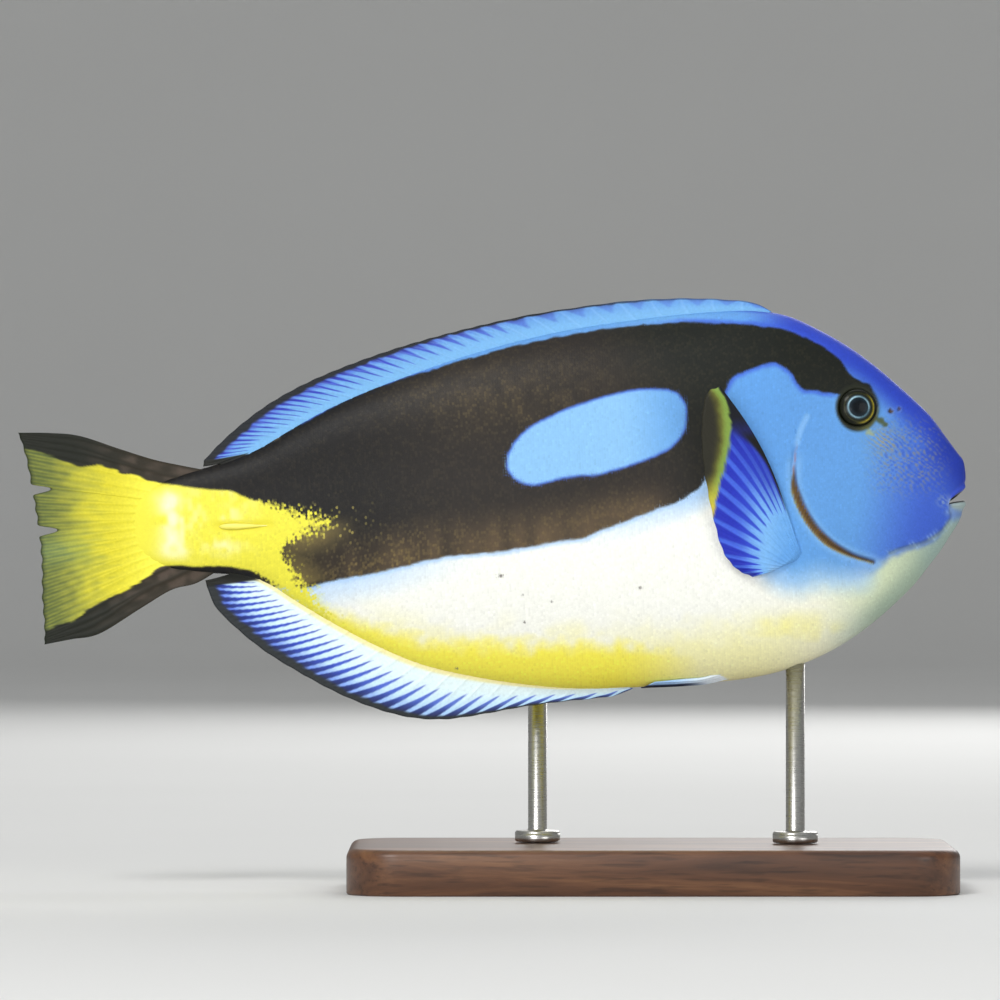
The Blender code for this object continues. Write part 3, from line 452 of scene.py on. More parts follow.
def relief(spot, place):
    """Height over the plain body in millimetres: the gill cover stands out over the
    shoulder, the slit and the jaw fold are grooves, the orbit is a rim round a hollow,
    the nostrils are pits with rims, and the folded spine lies in its groove."""
    x, z = as_seen(spot)
    edge = gill_edge(z)
    ahead = np.clip((edge - x) / 14, 0, 1)
    on_cover = (x <= edge) & (z > -22) & (z < 20)
    rise = np.where(on_cover, 0.7 * (1 - ahead) ** 2 * np.cos(np.pi * (z + 1) / 42) ** 2, 0)
    rise = rise - 0.75 * bell(line_distance(x, z, GILL_SLIT), 0.75) * fade(z, 14, 9)
    rise = rise - 0.3 * bell(line_distance(x, z, JAW_FOLD), 0.45)
    eye = eye_distance(x, z)
    rise = rise + 0.36 * bell(eye - 5.5, 0.6) - 2.6 * fade(eye, 5.2, 3.7)
    for behind, up, size in NOSTRILS:
        far = np.hypot(x - behind, z - up)
        rise = rise - 0.8 * bell(far, size) + 0.3 * bell(far - 1.5 * size, 0.3)
    rise = rise - 0.45 * bell(line_distance(x, z, SPINE, 2), 1.2)
    wrinkle = 0.05 * grain(x * 1.5, z * 0.5, 0.8, 3, spot[..., 2]) * (1 - fade(place, 6, 8))
    return (rise * fade(place, LIP_RING - 2, FACE_RING + 1) + wrinkle
            - COAT * fade(place, FACE_RING - 0.6, FACE_RING + 1.2))


def skin(place, angle):
    """The body's surface moved along its normal by the relief."""
    spot = body(place, angle)
    return spot + outward(place, angle) * relief(spot, np.asarray(place, float))[..., None]


def flank(behind, up, facing):
    """Point and normal of the side at given places, found by Newton steps on the body."""
    behind, up = np.broadcast_arrays(np.asarray(behind, float), np.asarray(up, float))
    place = np.interp(behind, RINGS[5:, 2], np.arange(5, len(RINGS)))
    angle = np.zeros(place.shape)
    for _ in range(14):
        spot = body(place, angle)
        dp = (body(place + 1e-3, angle) - spot) / 1e-3
        da = (body(place, angle + 1e-3) - spot) / 1e-3
        ex, ez = behind - spot[..., 0], up - spot[..., 1]
        det = dp[..., 0] * da[..., 1] - dp[..., 1] * da[..., 0]
        det = np.where(abs(det) < 1e-6, 1e-6, det)
        step = np.clip((ex * da[..., 1] - ez * da[..., 0]) / det, -2, 2)
        turn = np.clip((dp[..., 0] * ez - dp[..., 1] * ex) / det, -0.4, 0.4)
        place = np.clip(place + step, 4, LAST_RING)
        angle = np.clip(angle + turn, -1.5, 1.5)
    mirror = np.array((1, 1, facing))
    return body(place, angle) * mirror, outward(place, angle) * mirror


def caudal_blotches(x, z):
    """A ragged whitish stroke where the tail's rays leave the stalk."""
    ragged = grain(x, z, 2.6, 23)
    stroke = bell(x - 210.6 + 1.5 * ragged, 3.2) * fade(abs(z - 0.5), 10.8, 6.4)
    return stroke * fade(ragged + 0.09 * abs(z), -0.7, 0.7)


def body_colour(spot, jitter=0.0):
    """Colour of skin and scales from the markings' lines: blue head, dark band with its
    oval, pale belly, yellow margin and yellow wedge, each with its own soft edge."""
    x, z = as_seen(spot)
    noise = grain(x, z, 2.6, 1, spot[..., 2])
    fine = grain(x, z, 1.1, 2, spot[..., 2])
    wander = 0.35 * noise + 0.25 * fine
    below = height(BACK_LINE, x) - z
    above = z - height(BELLY_LINE, x)

    # Head and shoulder: light blue cheek, deep blue forehead and snout, gold flecks
    strip = blend("#629fe2", "#72aee3", fade(x, 56, 80))
    eye = eye_distance(x, z)
    turn = np.arctan2(z - EYE_SEEN[1], x - EYE_SEEN[0])
    speckled = soft_spot(x, z, 15, 8, 9.5, 9.5, 4) * fade(eye, 5.6, 7)
    near = soft_spot(x, z, 21.3, 12.4, 3.6, 3.6)
    bend = 4.5 * grain(x, z, 1.9, 5)
    fleck = (np.sin(3.9 * (x - 1.1 * z) + bend) + 0.7 * np.sin(3.1 * (0.9 * x + z) - 1.3 * bend)
             + 1.5 * grain(x, z, 0.62, 15))
    gold = blend("#7d84a0", "#a08f52", np.maximum(near, 0.4))
    rows = np.sin(5.2 * (0.8 * x - z) + 0.7 * bend)
    colour = layers(
        "#4163ca", ("#609ada", fade(x + 0.25 * z, 8, 30)), ("#68a8e8", fade(x, 30, 60, z, 20, -12)),
        ("#3048bd", fade(below, 12, 2.5, x, 54, 36)),
        # Deep blue of the snout, darker towards its tip: partly its own colour, partly painted
        # shade of the rounded front
        ("#273ca4", 0.85 * fade(x + 0.5 * abs(z - 8), 14, 3)),
        ("#334bc1", fade(below, 6.5, 3.5, x, 26, 34)),
        (strip, fade(x, 42, 58, below + 1.9 * fade(x, 50, 68), 0, 1.6)),
        (gold, 0.62 * speckled * fade(fleck, -0.1, 1.7)),
        ("#a89660", 0.7 * near * fade(rows, -0.1, 0.8)),
        ("#3048b8", 0.4 * speckled * fade(fleck, -0.3, -1.5)))
    for points, code, strength, wide, full, ragged in STROKES:
        stroke = line_distance(x, z, points, 20) + ragged * fine
        colour = blend(colour, code, strength * fade(stroke, wide, full))

    # Throat, breast and belly
    pale_side = height(PALE_EDGE, x) - z + wander
    pale = fade(pale_side, -1.2 - 3 * fade(x, 18, 40), 1.6 + 4.4 * fade(x, 14, 40, x, 70, 55))
    margin = above + 1.7 * noise + 0.5 * fine
    over = margin - height(YELLOW_HEIGHT, x)
    haze = fade(grain(x, z, 6, 26) + 0.4 * noise, -0.5, 0.9, over, 12, 0)
    yolk = np.max((fade(over, 4.4, -3, x, 56, 98), 0.3 * haze * fade(x, 50, 90, x, 168, 150),
                   0.34 * fade(margin, 20, 6, x, 20, 62, x, 125, 80),
                   0.08 * fade(x, 8, 16, x, 60, 40), fade(margin, 18, 8, x, 174, 180),
                   0.55 * soft_spot(x, z, 49, -36, 14, 5) * (0.7 + 0.35 * noise)), axis=0)
    belly = layers(
        "#9cb3ab", ("#d2e0c7", fade(above, 1, 9, x, 6, 26)), ("#f6f7ef", fade(x, 22, 44)),
        ("#aed1f7", fade(x, 22, 30, x, 66, 46, pale_side, 9, 2)), ("#fff35a", yolk))
    for behind, up, size in DARK_SPECKS:
        belly = blend(belly, "#6f6a66", fade(np.hypot(x - behind, z - up), size, 0.5 * size))

    # Dark band and the pale blue oval in it, with a thin deep blue line against blue and
    # a pale blue one against white
    dark = inside(x, z, DARK_BAND) + 0.7 * wander
    edging = blend("#bcd8f7", "#8abaef", fade(x, 80, 68))
    rim = blend("#3a58d2", "#a9cdf6", pale)
    rim_share = 0.65 + 0.1 * pale - 0.5 * fade(x, 66, 84, z, 34, 40)
    low = fade(dark, 15, 1.5, z, 9, -3, x, 74, 86, x, 182, 160)
    low = low * (0.75 + 0.35 * grain(x * 2.2, z * 0.5, 7, 22))
    sown = 0.1 + 0.2 * soft_spot(x, z, 123, 28, 24, 9) + low * (0.26 + 0.6 * fade(x, 122, 165))
    coal = layers(
        "#1c1f1b", ("#2b2724", fade(x - 0.5 * z, 50, 82)), ("#1b1a1a", fade(x, 128, 172)),
        ("#544836", 0.5 * soft_spot(x, z, 119, 30, 30, 9) * fade(noise, -1.5, 1)),
        ("#665540", 0.9 * low),
        ("#857346", fade(jitter + 0.6 * fine + 0.3 * noise, -0.3, 1.4) * sown),
        ("#a39a7a", 0.6 * fade(line_distance(x, z, BAND_STROKE, 20), 1.3, 0.2)))
    oval = inside(x, z, BLUE_OVAL) + 0.4 * wander
    patch = layers("#6aa4df", ("#8abfec", fade(x, 73, 92)), ("#4a70d4", fade(oval, 0.9, 0.1)))

    # Yellow wedge and tail stalk, broken up scale by scale
    broken = fade(x, 192, 172)
    plain = inside(x, z, YELLOW_WEDGE)
    wedge = plain + 0.5 * wander + broken * (2 * jitter + 1.3 * grain(x, z, 0.8, 24))
    cloud = grain(x, z, 4.4, 19) + 0.5 * grain(x * 1.4, z, 1.7, 20)
    cloud = fade(cloud, -0.35, 0.8, x, 184, 196, x, 214, 207, abs(z), 11, 6)
    yellow = layers(
        "#eee64a", ("#fbf8bc", 0.85 * cloud), ("#fefddc", 0.85 * caudal_blotches(x, z)),
        # Painted shade: darker yellow in the groove that the folded spine lies in
        ("#e6da3e", 0.4 * fade(line_distance(x, z, SPINE, 2), 1.9, 1.1)))
    colour = layers(
        colour, (belly, pale), (edging, 0.75 * pale * fade(dark, -7, -0.5, x, 108, 76)),
        ("#c2dcf8", 0.85 * pale * fade(dark, -9, -0.5, x, 122, 164)),
        (rim, fade(dark, -1.5, -0.2) * rim_share * fade(x, 30, 36)),
        (coal, fade(dark, -0.25, 0.35)), (patch, fade(oval, -0.3, 0.3)),
        ("#857546", 0.85 * fade(plain, -9, 0, dark, 0, 1.5) * broken * fade(z, 2, -5)),
        (yellow, fade(wedge / (0.35 + 1.2 * broken), -1, 1)),
        ("#b9ab58", 0.7 * fade(jitter, 0.8, 0.95, abs(z + 1.5), 9, 2, x, 150, 166, x, 180, 172)))

    # Orbit, gill slit, jaw and nostrils
    socket = blend("#282b21", "#4f512d", fade(turn, -1.2, -2, eye, 4.9, 5.6))
    slit, fold = line_distance(x, z, GILL_SLIT), line_distance(x, z, JAW_FOLD)
    ahead = gill_edge(z) - x
    width = 0.25 + 0.7 * fade(z, 8, -2, z, -19.5, -13)
    tissue = blend("#8f7f98", "#6f5532", fade(z, 8, 3))
    blot = fade(grain(x, z, 1.5, 21) + 0.3 * fine, -0.4, 0.8)
    beads = 0.35 + 0.65 * fade(np.sin(5.4 * (x - 0.6 * z)), -0.3, 0.6)
    colour = layers(
        colour, (socket, fade(eye_distance(x, z, 1.12) + 0.12 * noise, 6.1, 5.2)),
        ("#94c4f0", 0.4 * fade(slit, 3, 1, z, 12, 7)),
        # Painted shade: blue-grey on the slit's front side, under the gill cover's edge
        ("#3a4a78", 0.7 * fade(slit, width + 0.8, width, ahead, 0, 0.5, z, 10, 4)),
        ("#a09a50", fade(slit, width + 0.4, width, ahead, 0.3, -0.3, z, 4, 0)),
        (tissue, fade(slit, width + 0.15, width - 0.2, z, 13.5, 12)),
        # Painted shade: a near-black line down the slit, where it opens
        ("#2e241b", 0.6 * fade(slit - 0.3 * (ahead > 0), 0.35, 0, z, 7, 3)),
        ("#8faabb", 0.6 * fade(x + 0.9 * abs(z + 7.3), 7.5, 3.5)),
        ("#a9cbec", 0.6 * blot * beads * fade(fold, 2.2, 0.4, x, 3, 6)),
        # Painted highlight: a greenish line along the jaw fold
        ("#7f8a64", 0.4 * fade(fold, 0.8, 0.1, noise, -0.6, 0.1, x, 3.5, 5.5)),
        ("#a3b4bd", 0.55 * soft_spot(x, z, 6.3, -4.2, 1.5, 1.5) * fade(fleck, -0.9, 0.6)))
    # Each nostril: a bluer ring round it, and painted shade in its pit
    for behind, up, size in NOSTRILS:
        far = np.hypot(x - behind, z - up)
        colour = layers(colour, ("#6f92cf", 0.35 * fade(far, 2.2 * size, 1.5 * size)),
                        ("#4a3f38", fade(far, 1.15 * size, 0.7 * size)))
    return colour


def finish_colour(colour, place, spot):
    """Adds the lips, and painted shade: the near-black inside of the mouth."""
    lip = layers("#a5b5ab", ("#3a50bd", fade(spot[..., 1], -4.1, -3.2)),
                 ("#6a7fb4", fade(spot[..., 0], 4, 5.4)))
    return layers(colour, (lip, 0.85 * fade(place, 5.8, 4.4)), ("#15100f", fade(place, 3.3, 2.4)))


def build(name, points, faces, colour=None, uv=None, rim=None):
    """A mesh from arrays of points in metres and of faces that all have as many corners,
    with linear light in the point attribute tint, a UV map for each corner's point, and
    sharp edges between the points of a rim."""
    mesh = bpy.data.meshes.new(name)
    points, corners = np.asarray(points).reshape(-1, 3), faces.shape[1]
    mesh.vertices.add(len(points))
    mesh.vertices.foreach_set("co", points.astype(np.float32).ravel())
    mesh.loops.add(faces.size)
    mesh.loops.foreach_set("vertex_index", faces.astype(np.int32).ravel())
    mesh.polygons.add(len(faces))
    mesh.polygons.foreach_set("loop_start", np.arange(0, faces.size, corners, dtype=np.int32))
    mesh.polygons.foreach_set("use_smooth", np.ones(len(faces), bool))
    if uv is not None:
        layer = mesh.uv_layers.new(name="OFBake")
        layer.uv.foreach_set("vector", uv.reshape(-1, 2)[faces.ravel()].astype(np.float32).ravel())
    if colour is not None:
        rgba = np.ones((len(points), 4), np.float32)
        rgba[:, :3] = to_linear(np.asarray(colour).reshape(-1, 3))
        tint = mesh.color_attributes.new("tint", "FLOAT_COLOR", "POINT")
        tint.data.foreach_set("color", rgba.ravel())
    mesh.update(calc_edges=True)
    mesh.validate()
    if rim is not None:
        ends = np.empty(2 * len(mesh.edges), np.int32)
        mesh.edges.foreach_get("vertices", ends)
        sharp = mesh.attributes.new("sharp_edge", "BOOLEAN", "EDGE")
        sharp.data.foreach_set("value", rim[ends].reshape(-1, 2).all(1))
    made = place_object(name, mesh)
    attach(made, "root")
    return made


def place_object(name, data):
    """Puts a mesh, light or lens into the scene, unturned at the origin."""
    made = bpy.data.objects.new(name, data)
    bpy.context.scene.collection.objects.link(made)
    return made


def grid_faces(rows, columns, round_it=False, flip=False, start=0):
    """Quads of a grid of points, closed round its columns if asked."""
    i, j = np.meshgrid(np.arange(rows - 1), np.arange(columns - 1 + round_it), indexing="ij")
    near, far, k = i * columns, (i + 1) * columns, (j + 1) % columns
    quads = np.stack((near + j, near + k, far + k, far + j), -1).reshape(-1, 4) + start
    return quads[:, ::-1] if flip else quads


def sheet(name, x, z, side, half, colour, axis=1):
    """A closed fin: a grid of middle points moved both ways along a world axis by half
    its thickness in millimetres, with a wall of quads round its rim, and turned inside
    out if its volume comes out negative."""
    (rows, columns), size = x.shape, x.size
    middle, across = to_world(x, z, side), np.eye(3)[axis] * (half * MM)[..., None]
    points = np.concatenate((middle - across, middle + across)).reshape(-1, 3)
    ids = np.arange(size).reshape(rows, columns)
    rim = np.concatenate((ids[0, :-1], ids[:-1, -1], ids[-1, :0:-1], ids[:0:-1, 0]))
    after = np.roll(rim, -1)
    faces = np.concatenate((grid_faces(rows, columns),
                            grid_faces(rows, columns, flip=True, start=size),
                            np.stack((after, rim, rim + size, after + size), -1)))
    a, b, c, d = (points[faces[:, k]] for k in range(4))
    if (a * (np.cross(b, c) + np.cross(c, d))).sum() < 0:
        faces = faces[:, ::-1]
    v, u = np.meshgrid(np.linspace(0.02, 0.98, rows), np.linspace(0.01, 0.49, columns),
                       indexing="ij")
    uv = np.concatenate((np.stack((u, v), -1), np.stack((u + 0.5, v), -1)))
    return build(name, points, faces, np.concatenate((colour, colour)), uv)


def unwrap(place, angle):
    """Where a place of the skin lies on its map: along the rings, and round from the belly."""
    return np.stack((0.02 + 0.96 * place / LAST_RING,
                     0.02 + 0.96 * ((angle + np.pi / 2) / (2 * np.pi) % 1)), -1)


def body_skin():
    """One closed skin: close rings on mouth and head, wider ones on the trunk, and closer
    columns at the height of the eyes and of the gill slits."""
    rows = np.concatenate((np.linspace(0, FACE_RING, 34, endpoint=False),
                           np.linspace(FACE_RING, NAPE_RING, 150, endpoint=False),
                           np.linspace(NAPE_RING, LAST_RING, 134)))
    even = np.linspace(-np.pi / 2, 1.5 * np.pi, 4001)
    low = np.where(even < np.pi / 2, even, np.pi - even)
    close = 1 + 1.6 * bell(low + 0.4, 0.25) + 1.2 * bell(low - 0.55, 0.25)
    total = np.concatenate(([0], np.cumsum((close[1:] + close[:-1]) / 2)))
    angles = np.interp(np.arange(SKIN_COLUMNS) / SKIN_COLUMNS, total / total[-1], even)
    place, angle = np.meshgrid(rows, angles, indexing="ij")
    spot = skin(place, angle)
    colour = finish_colour(body_colour(spot), place, spot)
    ends = to_world((7.5, 220.2), (-5.2, 0.2), 0)
    points = np.concatenate((to_world(*np.moveaxis(spot, -1, 0)).reshape(-1, 3), ends))
    count = place.size
    first = np.arange(0, SKIN_COLUMNS, 2)
    ring = first, (first + 1) % SKIN_COLUMNS, (first + 2) % SKIN_COLUMNS
    last = [count - SKIN_COLUMNS + number for number in ring]
    faces = np.concatenate((grid_faces(len(rows), SKIN_COLUMNS, round_it=True),
                            np.stack((0 * first + count, *ring[::-1]), -1),
                            np.stack((0 * first + count + 1, *last), -1)))
    uv = np.concatenate((unwrap(place, angle).reshape(-1, 2), ((0.01, 0.5), (0.99, 0.5))))
    # End points: near black inside the mouth, painted shade, and yellow at the tail's end
    tints = np.concatenate((colour.reshape(-1, 3), (srgb("#2b2226"), srgb("#f7ef4c"))))
    return build("skin", points, faces, tints, uv)


def run_along(points):
    """How far along a line of points each of them lies."""
    steps = np.linalg.norm(np.diff(points, axis=0), axis=-1)
    return np.concatenate(([0], np.cumsum(steps)))


def scale_places():
    """Roots of the scales: rows a scale's length apart along the side, and in each row
    scales a scale's width apart round the body, every second row moved by half."""
    rings, sizes = (FACE_RING, 9, 13, NAPE_RING, LAST_RING), (0.34, 0.42, 0.55, 0.67, 0.66)
    dense = np.linspace(FACE_RING + 0.1, LAST_RING - 1.2, 1600)
    angles = np.linspace(0, 2 * np.pi, 361)
    probe = body(dense[:, None], angles[None, ::30])
    step = np.linalg.norm(np.diff(probe, axis=0), axis=-1).mean(1)
    count = np.cumsum(step / np.interp(dense[1:], rings, sizes))
    found = []
    for number, row in enumerate(np.interp(np.arange(1, int(count[-1])), count, dense[1:])):
        width = 1.18 * np.interp(row, rings, sizes)
        arc = run_along(body(row, angles))
        amount = int(arc[-1] / width)
        marks = (np.arange(amount) + 0.5 * (number % 2)) / amount * arc[-1]
        turns = np.interp(marks, arc, angles)
        found.append(np.stack((0 * turns + row, turns, 0 * turns + width)))
    return np.concatenate(found, axis=1)


def scale_coat():
    """Small lens-shaped plates: the front of each is sunk in the skin under the one
    before it, and its round hind edge stands a few hundredths of a millimetre free. A
    point is the scale's root plus its outline, times the width, along the skin's slope,
    across it and along its normal."""
    rng = np.random.default_rng(11)
    place, angle, width = scale_places()
    place = place + rng.normal(0, 0.004, place.shape)
    angle = angle + rng.normal(0, 0.0008, angle.shape)
    spot = skin(place, angle)
    along = unit(skin(place + 4e-3, angle) - skin(place - 4e-3, angle))
    around = skin(place, angle + 2e-3) - skin(place, angle - 2e-3)
    normal = unit(np.cross(along, around))
    axes = np.stack((along, np.cross(normal, along), normal), 1)
    x, z = as_seen(spot)
    keep = (eye_distance(x, z, 1.1) > 5.9) & (line_distance(x, z, SPINE, 2) > 1.5)
    keep &= line_distance(x, z, GILL_SLIT) > 0.45 + 0.75 * fade(z, 9, 1)
    keep &= rng.uniform(0, 1, len(x)) > fade(spot[..., 0], 208.5, 216)
    keep &= line_distance(x, z, JAW_FOLD) > 0.4
    for behind, up, size in NOSTRILS:
        keep &= np.hypot(x - behind, z - up) > 2 * size
    spot, axes, place, angle, width = (a[keep] for a in (spot, axes, place, angle, width))
    size = width * rng.uniform(0.97, 1.03, width.shape)
    points = spot[:, None] + PLATE @ axes * size[:, None, None]
    jitter = rng.uniform(-1, 1, len(spot))
    shade = 1 + 0.013 * rng.normal(0, 1, len(spot))
    base = finish_colour(body_colour(points, jitter[:, None]), place[:, None], points)
    # Each point's tint is multiplied by a random tone for its scale and by the painted light and
    # shade of the plate
    tint = np.clip(base * shade[:, None, None] * PLATE_PAINTED_SHADING[:, None], 0, 1)
    uv = unwrap(place, angle)[:, None] + PLATE[:, :2] * PLATE_UV
    world = to_world(*np.moveaxis(points, -1, 0))
    ring, corners = np.arange(PLATE_RIM), len(PLATE)
    after, top = (ring + 1) % PLATE_RIM, 0 * ring + PLATE_RIM
    one = np.concatenate((np.stack((top, ring, after), -1), np.stack((top + 1, after, ring), -1)))
    pieces, order = [], np.argsort(place, kind="stable")
    parts = -(-len(order) // SCALES_PER_PIECE)
    for number, chosen in enumerate(np.array_split(order, parts)):
        faces = (one[None] + corners * np.arange(len(chosen))[:, None, None]).reshape(-1, 3)
        rim = np.arange(corners * len(chosen)) % corners < PLATE_RIM
        pieces.append(build(f"scales_{number + 1}", world[chosen], faces, tint[chosen],
                            uv[chosen], rim))
    return pieces


def fin_grid(rays, fine, levels):
    """Ray numbers at fine steps, and the grids of levels along the rays and of columns."""
    phase = np.linspace(0, rays - 1, (rays - 1) * fine + 1)
    return phase, *np.meshgrid(levels, np.arange(len(phase)), indexing="ij")


def rooted(depth, count):
    """Levels from the root, with three more below it in the flesh."""
    return np.concatenate((np.linspace(-depth, 0, 3, endpoint=False), np.linspace(0, 1, count)))


def dip(phase):
    """How far the membrane falls back between the rays' tips."""
    return np.sin(np.pi * (phase % 1)) ** 2


def from_ray(phase, share, gap, forks):
    """Distance in millimetres from the nearest ray branch: each ray forks into two and
    then into four branches on its way to the margin."""
    first = 0.25 * fade(share, 0.22, 0.8) * forks
    second = 0.125 * fade(share, 0.55, 1) * forks
    offset = (phase + 0.5) % 1 - 0.5
    branches = [abs(offset - ray - a * first - b * second)
                for ray in (-1, 0, 1) for a in (-1, 1) for b in (-1, 1)]
    return np.min(branches, axis=0) * gap


def streaks(count, share, start, power):
    """Dark wedges that widen from a point at their start to the margin, one for each whole
    count, each of its own length; the power sets how soon they are wide."""
    own = start + 0.07 * np.sin(37.7 * np.floor(count))
    width = 0.38 * np.maximum(0, (share - own) / (1 - own)) ** power
    centre = abs(count - np.floor(count) - 0.5)
    return fade(centre, width + 0.07, width - 0.07, share, own, own + 0.06)


def median_fin(name, base, margin, spines, rays, spine_end, sign, edge, paint):
    """A fin of the mid line: each ray runs from its foot on the body to its tip on the
    margin, the membrane between rays is a thin sheet whose margin dips a little, and a
    low web joins the last ray to the stalk. A point lies between foot and tip by its
    share, and bows with the sine of the share. Half the thickness is the membrane's, plus
    a bell over each ray branch, plus flesh at the foot that falls off with the square."""
    fine = 13
    start, end = base
    split = start + (end - start) * spine_end
    feet = np.concatenate((start + (split - start) * np.arange(spines) / spines,
                           split + (end - split) * np.arange(rays) / (rays - 1), (end + 8,)))
    last = len(feet) - 2
    phase, level, column = fin_grid(len(feet), fine, rooted(0.9, 30))
    foot = np.interp(phase, np.arange(len(feet)), feet)
    line = curve(margin, 500)
    arc = run_along(line)
    share_on = (foot - start) / (end - start)
    tip = np.stack([np.interp(share_on, arc / arc[-1], way) for way in line.T], -1)
    gap_tip = np.maximum(np.hypot(*np.gradient(tip, axis=0).T) * fine, 1)
    web = np.maximum(phase - last, 0)
    tip[:, 0] += 0.3 * web
    tip[:, 1] -= sign * (0.14 * dip(phase) + 1.7 * web)
    ground = (height(edge, foot) - sign * COAT)[column]
    tip_x, tip_z = tip[column, 0], tip[column, 1]
    foot, phase, gap_foot = foot[column], phase[column], (np.gradient(foot) * fine)[column]
    share = np.maximum(level, 0)
    bow = 0.1 * np.sin(np.pi * share) * (tip_z - ground)
    x = foot + (tip_x - foot) * share + 1.2 * bow * sign
    z = ground + (tip_z - ground) * share + bow
    z = np.where(level < 0, ground + sign * level * 1.6, z)
    gap = gap_foot * (1 - share) + gap_tip[column] * share
    far = from_ray(phase, share, gap, foot > split)
    half = (0.13 * (1 - 0.35 * share) + 0.18 * bell(far, 0.3) * (1 - 0.45 * share)
            + 0.75 * np.maximum(0, 1 - share / 0.5) ** 2)
    wave = 0.25 * share * np.sin(foot / 9)
    along = np.clip((phase - spines) / (last - spines), 0, 1)
    count = phase + 0.62 * (last - spines) * along ** 3
    return sheet(name, x, z, wave, half, paint(x, z, share, count, far, foot))


def dorsal_colour(x, z, share, count, far, foot):
    """Light blue with deep blue wedges between the rays that lengthen to the rear, a
    grey-black margin, and painted shade on the web behind the last ray, near black for
    the dark gap between that ray and the stalk."""
    noise = grain(x, z, 1.6, 4)
    rear = fade(foot, 84, 168)
    wedge = streaks(count, share, 0.34 - 0.22 * rear, 1)
    start = 0.87 - 0.1 * fade(foot, 120, 180)
    return layers(
        "#76b0e1", ("#689edc", fade(share, 0.1, 0.8)),
        ("#3f4cd0", 0.75 * rear * fade(share, 0.55, 0.85)),
        ("#3138b4", wedge * (0.2 + 0.75 * rear)),
        ("#1c2148", wedge * fade(share, 0.6, 0.95) * (0.2 + 0.55 * rear)),
        ("#8fc2f2", 0.35 * bell(far, 0.25) * fade(share, 0.95, 0.7)),
        ("#24272c", fade(share + 0.04 * noise, start - 0.05, start + 0.04)
         * (0.35 + 0.65 * fade(foot, 60, 110))),
        # Painted shade: the web behind the last ray, near black for the gap above the stalk
        ("#22231f", fade(foot, 188.3, 190)))


def anal_colour(x, z, share, count, far, foot):
    """White with a thin cream line at its foot, blue and black wedges between the rays
    that sweep to the rear and lengthen there, and a grey-black margin."""
    noise = grain(x, z, 1.6, 6)
    rear = fade(foot, 116, 182)
    swept = count + (1.3 + 0.5 * rear) * (1 - share)
    wedge = streaks(swept, share, 0.3 - 0.2 * rear, 0.66)
    start = 0.88 - 0.06 * rear
    return layers(
        "#e6f9fc", ("#b6dbf8", fade(share, 0.12, 0.8)),
        ("#3f5be0", 0.75 * rear * fade(share, 0.5, 0.85)),
        ("#2a43c0", wedge * (0.65 + 0.3 * rear)),
        ("#1d2244", wedge * fade(share, 0.45, 0.9) * 0.8),
        ("#2b2f31", fade(share + 0.04 * noise, start - 0.04, start + 0.05, foot, 94, 112)),
        ("#f5ecae", fade(share, 0.08, 0.02, foot, 100, 112)),
        # Painted shade: the web behind the last ray, near black for the gap below the stalk
        ("#22231f", fade(foot, 187.3, 189)))


def tail_colour(x, z, share, far):
    """Yellow fan that turns olive and clear to its margin between pale rays, with brown-black
    upper and lower lobes whose inner edges are ragged."""
    noise, fine = grain(x, z, 2.2, 7), grain(x * 0.35, z * 1.6, 1, 9)
    ray = bell(far, 0.3)
    olive = fade(x + 2.5 * noise + 2.4 * fine + 0.005 * (z - 2) ** 2, 225, 241)
    tone = layers("#949740", ("#3f4f36", fade(x + 1.5 * noise, 231, 245)),
                  ("#5f7d62", 0.6 * bell(z + 5, 4)))
    top, bottom = z - height(TAIL_BROWN_TOP, x), height(TAIL_BROWN_BOTTOM, x) - z
    lobe = fade(np.maximum(top, bottom) + 0.5 * noise + 0.5 * fine, -0.35, 0.35)
    brown = layers("#2f2a20", ("#1e2019", fade(x, 214, 234)),
                   ("#64554c", 0.6 * (1 - ray) * fade(x, 240, 214, noise, -0.6, 0.5)))
    return layers(
        # Brighter yellow at the root, fading to the fan's own yellow: painted light, so the root
        # matches the lit stalk
        "#f9f150", ("#dcd134", fade(x, 212, 227)), ("#fefddc", 0.85 * caudal_blotches(x, z)),
        ("#aeaa34", 0.3 * (1 - ray) * fade(x + 6 * fine, 222, 236)),
        (tone, olive * (0.9 - 0.18 * ray)),
        ("#ddd650", 0.2 * ray * fade(x, 224, 234, fine, -0.6, 0.6)),
        (brown, lobe), ("#22281d", 0.75 * fade(share, 0.972, 1)))


def tail_fin(name):
    """The fan of the tail: rays from the stalk's end to the hind margin, the outermost
    bent to its top and bottom edges, with two small tears in the membrane. A point lies
    straight between root and margin, and is drawn to the edge's curve with the sixth
    power of how far out its ray is. The fan waves with a sine of the height."""
    levels = np.linspace(0, 1, 56)
    phase, share, column = fin_grid(TAIL_RAYS, 14, levels)
    across = phase / (TAIL_RAYS - 1)
    margin = curve(TAIL_HIND_MARGIN, across)
    margin[:, 0] -= 0.35 * dip(phase)
    for nick in TAIL_NICKS:
        centre = np.floor(np.interp(nick, margin[::-1, 1], phase[::-1])) + 0.5
        margin[:, 0] -= TAIL_NICK_DEPTH * fade(abs(phase - centre), 0.42, 0.05)
    root = np.stack((0 * phase + TAIL_ROOT, TAIL_ROOT_HALF * (1 - 2 * across) + 0.4), -1)
    straight = root[column] + (margin - root)[column] * share[..., None]
    high = (1 - 2 * across)[column]
    edge = np.where((high > 0)[..., None], curve(TAIL_TOP_EDGE, levels)[:, None],
                    curve(TAIL_BOTTOM_EDGE, levels)[:, None])
    x, z = np.moveaxis(blend(straight, edge, abs(high) ** 6), -1, 0)
    far = from_ray(phase[column], share, 1.3 + 2.1 * share, 1)
    half = (0.12 * (1 - 0.3 * share) + 0.18 * bell(far, 0.3) * (1 - 0.4 * share)
            + 1.2 * np.maximum(0, 1 - share / 0.42) ** 2 * (1 - 0.7 * high ** 4))
    wave = 0.5 * share ** 2 * np.sin(z / 8 + 1)
    return sheet(name, x, z, wave, half, tail_colour(x, z, share, far))


